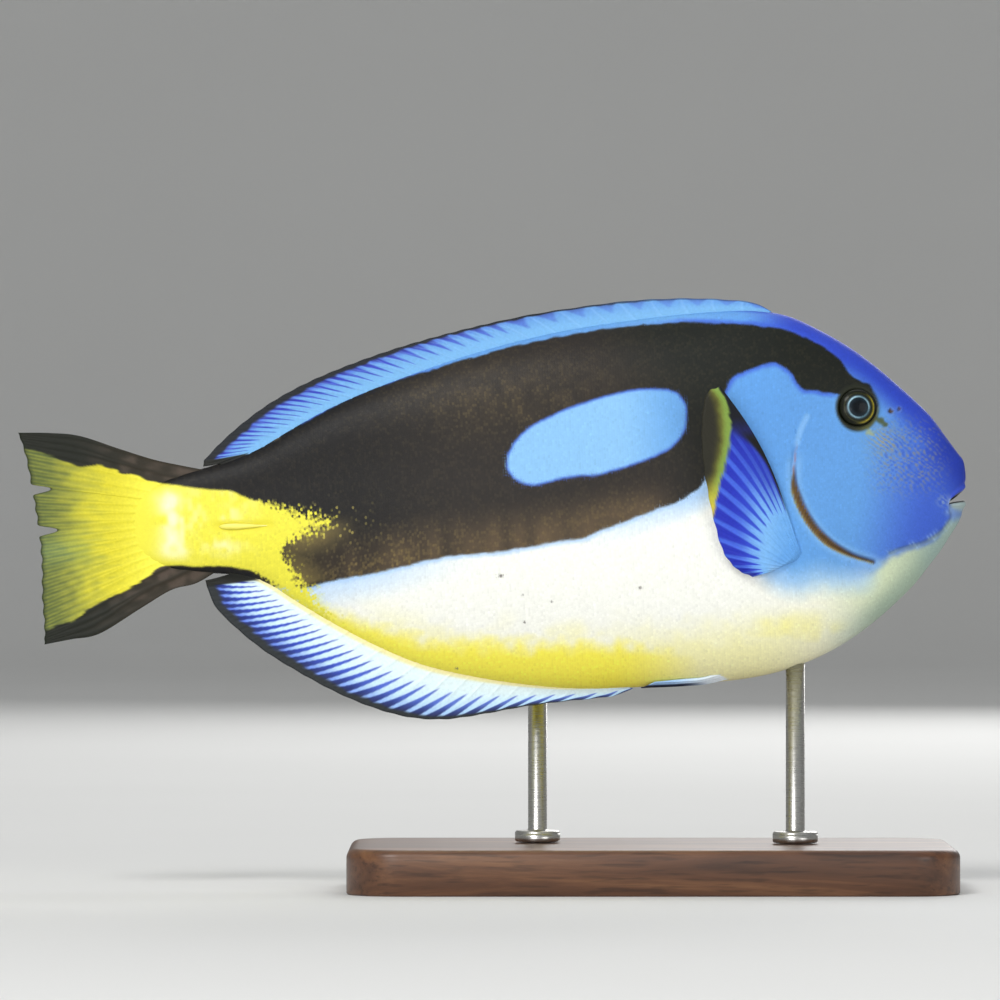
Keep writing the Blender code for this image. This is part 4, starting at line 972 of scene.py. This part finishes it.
def pectoral_colour(x, z, share, phase, ground):
    """Deep blue wedges between lighter rays, paling into the body's colour at the root, a
    black leading edge and tip, and a yellow-green border whose inner edge is ragged."""
    noise = grain(x, z, 1.6, 12)
    lead = phase / (PECTORAL_RAYS - 1)
    wedge = streaks(phase, share + 0.1 * noise * (1 - share), 0.16 + 0.3 * lead, 0.5)
    outer = fade(share, 0.45, 0.9)
    fan = layers(
        "#7cb6ee", ("#6290e4", fade(share, 0.3, 0.7)),
        ("#3a58d4", 0.8 * fade(share, 0.26 + 0.3 * lead, 0.6 + 0.24 * lead)),
        (blend("#2f48c8", "#212cae", fade(share, 0.4, 0.8)), 0.92 * wedge),
        ("#1f2aa0", 0.6 * fade(lead, 0.34, 0.08, share, 0.2, 0.45)),
        ("#121212", fade(lead, 0.05 + 0.16 * outer, 0.01 + 0.11 * outer, share, 0.12, 0.4)),
        ("#1d2578", 0.7 * fade(z, 14, 18, share, 0.5, 0.7)),
        ("#12141c", fade(z + 0.5 * noise, 17, 21, share, 0.6, 0.75)))
    limit = height([(p[1], p[0]) for p in PECTORAL_YELLOW[::-1]], z)
    border = x - limit + 0.45 * noise
    band = layers("#7f9c46", ("#6b6828", fade(border, 0.8, 3.2)),
                  ("#2b2a21", fade(border, 1.6, 4.4, z, -3, 5)), ("#cdbd3c", fade(z, 7, -4)))
    return layers(ground, (fan, fade(share + 0.05 * noise, 0.03, 0.32)),
                  (band, fade(border, -0.3, 0.4, share, 0.5, 0.62)))


def pectoral_fin(name, facing):
    """A fan standing a little off the flank: each ray runs from the root line to the
    margin and bows with a sine of its share, and the side grows with the share from the
    flank's at the root, with a sine bow that is larger for the lower rays."""
    fine = 12
    phase, level, column = fin_grid(PECTORAL_RAYS, fine, rooted(0.07, 48))
    across = phase / (PECTORAL_RAYS - 1)
    root, margin = curve(PECTORAL_ROOT, across), curve(PECTORAL_MARGIN, across)
    run = margin - root
    reach = np.hypot(run[:, 0], run[:, 1])
    margin = margin - run / reach[:, None] * (0.3 * dip(phase))[:, None]
    base = flank(root[:, 0], root[:, 1], 1)[0][column, 2]
    share = np.maximum(level, 0)
    place = root[column] + (margin - root)[column] * level[..., None]
    bow = np.sin(np.pi * share ** 1.15) * fade(across, 0.75, 0)[column]
    x, z = np.moveaxis(place + bow[..., None] * np.array((-2.5, 1)), -1, 0)
    side = (base + 0.2 + PECTORAL_FLARE * reach[column] * share
            + 2.2 * np.sin(np.pi * share) * across[column])
    side = np.where(level < 0, base + level * 30, side)
    spread = np.hypot(*np.gradient(margin, axis=0).T) * fine
    far = from_ray(phase[column], share, 0.6 * (1 - share) + spread[column] * share, 1)
    half = (0.13 * (1 - 0.3 * share) + 0.17 * bell(far, 0.28) * (1 - 0.4 * share)
            + 0.5 * np.maximum(0, 1 - share / 0.35) ** 2)
    ground = body_colour(np.stack((x, z, 0 * x), -1))
    colour = pectoral_colour(x, z, share, phase[column], ground)
    return sheet(name, *behind_seen(x, z, side), facing * side, half, colour)


def pelvic_fin(name, facing):
    """A narrow fin folded back along the belly, its rays as fine ridges: each runs
    straight back from the root, at the belly's outline raised with the square of the
    side, and sinks against it by a smooth step. The tip thins out."""
    phase, share, column = fin_grid(PELVIC_RAYS, 10, np.linspace(0, 1, 34))
    spread = (phase / (PELVIC_RAYS - 1))[column]
    x = (PELVIC_ROOT[0] + 3.2 * spread
         + (PELVIC_TIP[0] - PELVIC_ROOT[0]) * share * (1 - 0.25 * spread))
    side = PELVIC_ROOT[1] + 2.2 * spread
    z = height(RINGS[8:, 5:7], x) + 0.08 * side ** 2 + 0.7 - 1.35 * fade(share, 0, 0.45)
    far = from_ray(phase[column], share, 0.9, 0.6)
    half = (0.2 + 0.16 * bell(far, 0.22)) * (0.3 + 0.7 * fade(share, 1, 0.6))
    colour = layers("#e6f1f8", ("#9cc4f2", fade(share, 0.2, 0.9)),
                    ("#1b2238", fade(spread, 0.75, 0.35, share, 0.3, 0.65)))
    return sheet(name, x, z, facing * side, half, colour, axis=2)


def turned(name, profile, centre, axis, steps, paint=None):
    """A surface of revolution of (radius, height) points in millimetres: the centre, plus
    the height along the axis, plus the radius along a spoke that turns about it. Both ends
    close at the axis."""
    axis = np.asarray(axis, float) / np.linalg.norm(axis)
    across = np.cross((0, 0, 1) if abs(axis[2]) < 0.9 else (1, 0, 0), axis)
    across /= np.linalg.norm(across)
    turn = np.linspace(0, 2 * np.pi, steps, endpoint=False)
    spoke = across * np.cos(turn)[:, None] + np.cross(axis, across) * np.sin(turn)[:, None]
    radius, rise = np.asarray(profile, float).T[..., None]
    points = centre + (axis * rise[..., None] + spoke * radius[..., None]) * MM
    tint = paint and paint(*np.broadcast_arrays(radius, turn))
    return build(name, points, grid_faces(len(profile), steps, round_it=True), tint)


def eye_colour(radius, turn):
    """From the middle out: black pupil, thin silver ring, dark olive iris with a gold
    crescent low in front, and a dark rim."""
    silver = np.clip(0.5 + 0.35 * np.cos(turn - 2.3) + 0.3 * np.sin(3 * turn + 1), 0, 1)
    gold = bell(radius - 4.15, 0.28) * fade(np.cos(turn - np.radians(-20)), 0, 0.8)
    return layers(
        "#0b1116", ("#18242c", fade(radius, 1.2, 2.4)),
        (blend("#4a6673", "#97b9c9", silver), fade(radius, 2.42, 2.68)),
        ("#2c3739", fade(radius, 2.86, 3.15)), ("#191b14", fade(radius, 3.2, 3.5)),
        ("#4d4f2a", 0.5 * bell(radius - 3.75, 0.15)), ("#a8982f", 0.9 * gold),
        ("#1f2219", fade(radius, 4.45, 4.7)))


def eye(name, facing):
    """A wet dome, a quarter of an ellipse turned about the eye's axis, with a slightly
    raised lens over the pupil, set as deep as in the solids."""
    point, normal = flank(*behind_seen(*EYE_SEEN, 10.0), facing)
    out = to_world(*normal) - to_world(0, 0, 0)
    look = out / np.linalg.norm(out) + np.array((0.1, facing * 1.2, 0))
    arc = np.radians(np.linspace(0, 90, 56))
    radius, rise = EYE_RADIUS * np.cos(arc), EYE_BULGE * np.sin(arc)
    dome = np.stack((radius, rise + 0.12 * np.exp(-(radius / 2.3) ** 4)), -1)
    profile = np.concatenate((((0.01, -EYE_DEPTH), (EYE_RADIUS, -EYE_DEPTH)), dome[:-1],
                              ((0.01, dome[-1, 1]),)))
    return turned(name, profile, to_world(*point), look, 96,
                  lambda r, t: eye_colour(r, t if facing < 0 else np.pi - t))


def tail_spine(name, facing):
    """The folded spine: a flat blade, round at its root and sharp in front, lying on the
    stalk's side. Its half height goes from root to tip through a few shares, and its
    section is an ellipse half sunk in the flesh."""
    steps, turns = 40, 20
    share, angle = np.meshgrid(np.linspace(0, 1, steps),
                               np.linspace(0, 2 * np.pi, turns, endpoint=False), indexing="ij")
    blade = np.interp(share, (0, 0.05, 0.15, 0.38, 0.7, 1), (0.02, 0.6, 0.9, 1, 0.6, 0.02))
    x = SPINE_ROOT[0] + (SPINE_TIP[0] - SPINE_ROOT[0]) * share
    z = SPINE_ROOT[1] + (SPINE_TIP[1] - SPINE_ROOT[1]) * share + 0.95 * blade * np.sin(angle)
    base, _ = flank(x, SPINE_ROOT[1], 1)
    side = base[..., 2] - 0.25 + 0.62 * blade * np.cos(angle)
    # Painted shade: darker yellow along the blade's edges, where they sink into the flesh
    colour = layers("#f4eb66", ("#d9cc3c", fade(abs(np.sin(angle)), 0.5, 0.95)),
                    ("#f6efa8", fade(share, 0.8, 1)))
    faces = grid_faces(steps, turns, round_it=True, flip=facing < 0)
    return build(name, to_world(x, z, facing * side), faces, colour)


def box_mm(node):
    """Low and high corner of a solid in millimetres, and its middle seen from above."""
    low, high = (np.array(corner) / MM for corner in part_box(node))
    return low, high, (low + high)[:2] / 2


def stand_plate():
    """The base: rings of a rectangle with round corners, each at its inset and level. The
    insets follow a quarter circle at the upper edge and a small chamfer at the lower
    one, and go on to the middle to close top and bottom."""
    low, high, centre = box_mm("stand_base")
    half = (high - low)[:2] / 2
    corner, soft, thick = 14.0, 2.5, high[2] - low[2]
    angle = np.radians(np.concatenate([np.linspace(q, q + 90, 17) for q in (0, 90, 180, 270)]))
    middle = np.repeat(((1, 1), (-1, 1), (-1, -1), (1, -1)), 17, axis=0) * (half - corner)
    bend = np.radians(np.linspace(0, 90, 9))
    inset = np.concatenate(([half.min(), 6, 0.5, 0, 0], soft * (1 - np.cos(bend)),
                            [6, 16, half.min()]))
    level = np.concatenate(([0, 0, 0, 0.5, thick - soft - 0.3], thick - soft + soft * np.sin(bend),
                            [thick] * 3))
    inset = inset[:, None, None]
    reach = np.sign(middle) * np.maximum(np.abs(middle) - np.maximum(inset - corner, 0), 0)
    spoke = np.stack((np.cos(angle), np.sin(angle)), -1)
    ring = reach + (corner - np.minimum(inset, corner - 0.01)) * spoke + centre
    points = np.concatenate((ring, 0 * ring[..., :1] + level[:, None, None]), -1)
    return build("stand_plate", points * MM, grid_faces(len(level), len(angle), round_it=True))


def stand_rod(name, node):
    """A drawn steel rod with a turned collar whose upper edge is a quarter circle,
    running a little way into the flesh."""
    low, high, centre = box_mm(node)
    length = high[2] - low[2] + 1.6
    profile = [(0.01, 0), (5.6, 0), (6, 0.4), (6, 2.2)]
    profile += [(5.2 + 0.8 * math.cos(a), 2.2 + 0.8 * math.sin(a))
                for a in np.radians(np.linspace(0, 90, 6))]
    profile += [(2.9, 3), (2.5, 3.3), (2.5, length), (0.01, length)]
    return turned(name, profile, np.array((*centre, low[2])) * MM, (0, 0, 1), 64)


def connect(tree, node, links, values):
    """Sets inputs of a node and links sockets, or nodes by their first output, into it."""
    for name, value in values.items():
        node.inputs[name].default_value = value
    for name, source in links.items():
        tree.links.new(getattr(source, "outputs", [source])[0], node.inputs[name])
    return node


def add(tree, kind, links, values=None, **settings):
    """Adds a node with its properties, its incoming links and the values of its inputs."""
    node = tree.nodes.new("ShaderNode" + kind)
    for name, value in settings.items():
        setattr(node, name, value)
    return connect(tree, node, links, values or {})


def new_material(name):
    """A new material, its node tree and the Object coordinates."""
    material = bpy.data.materials.new(name)
    material.use_nodes = True
    return material, material.node_tree, add(material.node_tree, "TexCoord", {}).outputs["Object"]


def feed_shader(material, links, values):
    """Sets and links the inputs of the material's own shader."""
    connect(material.node_tree, material.node_tree.nodes["Principled BSDF"], links, values)
    return material


def limits(*four):
    """From low and high to low and high."""
    return dict(zip(("From Min", "From Max", "To Min", "To Max"), four))


def mottled(tree, noise, ranges, colour=None):
    """A colour, the painted tint if none is given, made darker and lighter by a noise."""
    colour = colour or add(tree, "Attribute", {}, attribute_name="tint")
    light = add(tree, "MapRange", {"Value": noise}, ranges)
    return add(tree, "VectorMath", {0: colour, "Scale": light}, operation="SCALE")


def skin_material(name, depth, contrast):
    """Wet fish skin: the painted tint, mottled by fine noise; the bump is the grain of
    the minute toothed scales, drawn 0.45 mm wide because the real grain is too fine to
    show, and a thin coat of slime gives the soft shine."""
    material, tree, place = new_material(name)
    mottle = add(tree, "TexNoise", {"Vector": place},
                 {"Scale": 1 / (0.9 * MM), "Detail": 4, "Roughness": 0.6})
    cells = add(tree, "TexVoronoi", {"Vector": place}, {"Scale": 1 / (0.45 * MM)})
    return feed_shader(material, {
        "Base Color": mottled(tree, mottle, limits(0.25, 0.75, 1 - contrast, 1 + contrast)),
        "Normal": add(tree, "Bump", {"Height": cells}, {"Strength": depth, "Distance": 0.08 * MM}),
        "Roughness": add(tree, "MapRange", {"Value": mottle}, limits(0.3, 0.7, 0.44, 0.58)),
    }, {"IOR": 1.38, "Specular IOR Level": 0.22, "Coat Weight": 0.09, "Coat Roughness": 0.3,
        "Coat IOR": 1.34})


def fin_material():
    """Fin membrane: wet skin without scales, painted tint, with a fine uneven bump that
    breaks the shine between the rays."""
    material, tree, place = new_material("fin membrane")
    mottle = add(tree, "TexNoise", {"Vector": place}, {"Scale": 1 / (0.7 * MM), "Detail": 3})
    return feed_shader(material, {
        "Base Color": mottled(tree, mottle, limits(0.25, 0.75, 0.93, 1.07)),
        "Normal": add(tree, "Bump", {"Height": mottle}, {"Strength": 0.25, "Distance": 0.06 * MM}),
    }, {"Roughness": 0.5, "IOR": 1.38, "Specular IOR Level": 0.3})


def eye_material():
    """Wet eyeball: painted iris under a clear, very smooth cornea."""
    material, tree, place = new_material("wet eyeball")
    fleck = add(tree, "TexNoise", {"Vector": place}, {"Scale": 1 / (0.35 * MM), "Detail": 3})
    return feed_shader(material, {
        "Base Color": mottled(tree, fleck, limits(0.3, 0.7, 0.75, 1.25)),
    }, {"Roughness": 0.35, "Specular IOR Level": 0.1, "Coat Weight": 0.14,
        "Coat Roughness": 0.03, "Coat IOR": 1.376})


def spine_material():
    """Bare bone of the folded spine: smooth and slightly waxy."""
    material, tree, place = new_material("tail spine bone")
    line = add(tree, "TexNoise", {"Vector": place}, {"Scale": 1 / (0.5 * MM), "Detail": 2})
    return feed_shader(material, {
        "Base Color": add(tree, "Attribute", {}, attribute_name="tint"),
        "Normal": add(tree, "Bump", {"Height": line}, {"Strength": 0.2, "Distance": 0.05 * MM}),
    }, {"Roughness": 0.35})


def walnut_material():
    """Planed and oiled walnut: figure about 10 mm wide with finer lines in it, drawn out
    eleven times along the plate, and dark pores. They are 1.1 mm wide, since real pores
    are too fine to show. The oil gives a soft, thin gloss."""
    material, tree, place = new_material("oiled walnut")
    stretched = add(tree, "Mapping", {"Vector": place}, {"Scale": (0.09, 1, 1)})
    figure = add(tree, "TexNoise", {"Vector": stretched},
                 {"Scale": 0.095 / MM, "Detail": 6, "Roughness": 0.62, "Distortion": 1.4})
    ramp = add(tree, "ValToRGB", {"Fac": figure})
    ramp.color_ramp.elements.new(0.5)
    stops = (0.3, "#3b2417"), (0.5, "#5b3a25"), (0.72, "#7d5638")
    for element, (position, code) in zip(ramp.color_ramp.elements, stops):
        element.position, element.color = position, linear(code)
    pores = add(tree, "TexNoise", {"Vector": stretched}, {"Scale": 0.9 / MM, "Detail": 2})
    return feed_shader(material, {
        "Base Color": mottled(tree, pores, limits(0.34, 0.46, 0.62, 1), ramp),
        "Normal": add(tree, "Bump", {"Height": pores}, {"Strength": 0.25, "Distance": 0.1 * MM}),
    }, {"Roughness": 0.42, "Coat Weight": 0.15, "Coat Roughness": 0.3})


def steel_material():
    """Drawn stainless steel, finished with fine abrasive: lines round the rod every
    quarter of a millimetre, coarser than real ones so that they show, which break the
    reflections up."""
    material, tree, place = new_material("brushed stainless steel")
    flat = add(tree, "Mapping", {"Vector": place}, {"Scale": (0.05, 0.05, 1)})
    lines = add(tree, "TexNoise", {"Vector": flat}, {"Scale": 1 / (0.25 * MM), "Detail": 3})
    return feed_shader(material, {
        "Roughness": add(tree, "MapRange", {"Value": lines}, limits(0.3, 0.7, 0.22, 0.38)),
        "Normal": add(tree, "Bump", {"Height": lines}, {"Strength": 0.15, "Distance": 0.03 * MM}),
    }, {"Base Color": linear("#c3c2be"), "Metallic": 1})


def dress(piece, material, slot, *nodes):
    """Gives a piece its material, and hides the solids that it stands in for. The slot is not used.
    """
    piece.data.materials.append(material)
    if nodes:
        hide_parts(*nodes)


def studio():
    """A pale round floor that curves up to a wall all round by a quarter circle of 1.2 m,
    soft lights above and beside the camera, and a long lens looking level at the fish's
    right side."""
    bend, steps = np.radians(np.linspace(0, 90, 12)), 96
    profile = np.array([(0.5, 0), (400, 0), (1500, 0), (3000, 0)]
                       + [(3000 + 1200 * math.sin(a), 1200 - 1200 * math.cos(a)) for a in bend[1:]]
                       + [(4200, 4200)])
    turn = np.linspace(0, 2 * np.pi, steps, endpoint=False)
    points = np.stack((profile[:, :1] * np.cos(turn), profile[:, :1] * np.sin(turn),
                       profile[:, 1:] + 0 * turn), -1) * MM
    faces = grid_faces(len(profile), steps, round_it=True, flip=True)
    mesh = bpy.data.meshes.new("floor")
    mesh.from_pydata(points.reshape(-1, 3).tolist(), [], [*faces.tolist(), list(range(steps))])
    mesh.shade_smooth()
    floor = place_object("floor", mesh)
    # Matt wall paint: nearly even, with very faint clouds a third of a metre wide
    paint, tree, place = new_material("matt studio paint")
    cloud = add(tree, "TexNoise", {"Vector": place}, {"Scale": 3, "Detail": 2})
    tone = add(tree, "ValToRGB", {"Fac": cloud})
    for element, code in zip(tone.color_ramp.elements, ("#dcdcda", "#e2e2e0")):
        element.color = linear(code)
    mesh.materials.append(feed_shader(paint, {"Base Color": tone}, {"Roughness": 0.9}))

    for name, place, size, power in (
            ("key", (-0.6, -1.3, 1.5), 0.7, 18.3), ("fill", (1.2, -1.5, 0.5), 1, 7),
            ("low", (-0.5, -1.7, 0.2), 0.9, 12), ("top", (0.1, 0.6, 1.5), 1, 4),
            ("rear", (0.4, 1.6, 0.8), 1, 9)):
        light = bpy.data.lights.new(name, "AREA")
        light.shape, light.size, light.energy = "DISK", size, power
        lamp = place_object(name, light)
        lamp.location = place
        x, y, z = np.array((0, 0, 0.1)) - place
        lamp.rotation_euler = (math.atan2(math.hypot(x, y), -z), 0, math.atan2(y, x) - math.pi / 2)
    world = bpy.data.worlds.new("soft sky")
    world.use_nodes = True
    sky = {"Color": linear("#f2f4f7"), "Strength": 0.42}
    connect(world.node_tree, world.node_tree.nodes["Background"], {}, sky)

    lens = bpy.data.cameras.new("camera")
    lens.sensor_width, lens.clip_start, lens.clip_end = 36, 0.05, 30
    lens.lens = lens.sensor_width * CAMERA_FAR / VIEW_WIDTH
    camera = place_object("camera", lens)
    centre = to_world(*VIEW_CENTRE, 0)
    camera.location = (centre[0], -CAMERA_FAR * MM, centre[2])
    camera.rotation_euler = (math.pi / 2, 0, 0)
    scene = bpy.context.scene
    scene.world, scene.camera = world, camera
    scene.view_settings.view_transform = "Standard"


def main():
    """Makes the fish, its stand and the studio, piece by piece."""
    hide = skin_material("wet fish skin", 0.3, 0.03)
    plates = skin_material("wet fish scales", 0.12, 0.025)
    membrane = fin_material()
    dress(body_skin(), hide, "trunk_skin", "head", "trunk", "tail_stalk")
    coat = scale_coat()
    slots = ["head_skin"] + ["trunk_skin"] * (len(coat) - 2) + ["stalk_skin"]
    for piece, slot in zip(coat, slots):
        dress(piece, plates, slot)
    dress(median_fin("dorsal_sail", DORSAL_BASE, DORSAL_MARGIN, DORSAL_SPINES, DORSAL_RAYS,
                     DORSAL_SPINE_END, 1, RINGS[6:, :2], dorsal_colour),
          membrane, "blue_fin_membrane", "dorsal_fin")
    dress(median_fin("anal_sail", ANAL_BASE, ANAL_MARGIN, ANAL_SPINES, ANAL_RAYS,
                     ANAL_SPINE_END, -1, RINGS[6:, 5:7], anal_colour),
          membrane, "pale_fin_membrane", "anal_fin")
    dress(tail_fin("tail_fan"), membrane, "tail_fin_membrane", "caudal_fin")
    eyeball, bone = eye_material(), spine_material()
    for side, facing in (("right", -1), ("left", 1)):
        dress(pectoral_fin(f"pectoral_fan_{side}", facing), membrane, "pectoral_membrane",
              f"pectoral_fin_{side}")
        dress(pelvic_fin(f"pelvic_fan_{side}", facing), membrane, "pale_fin_membrane",
              f"pelvic_fin_{side}")
        dress(eye(f"eyeball_{side}", facing), eyeball, "eye", f"eye_{side}")
        dress(tail_spine(f"spine_blade_{side}", facing), bone, "spine", f"tail_spine_{side}")
    dress(stand_plate(), walnut_material(), "stand_wood", "stand_base")
    steel = steel_material()
    for name in ("front", "rear"):
        node = f"stand_rod_{name}"
        dress(stand_rod(f"{name}_rod", node), steel, "stand_steel", node)
    studio()


main()
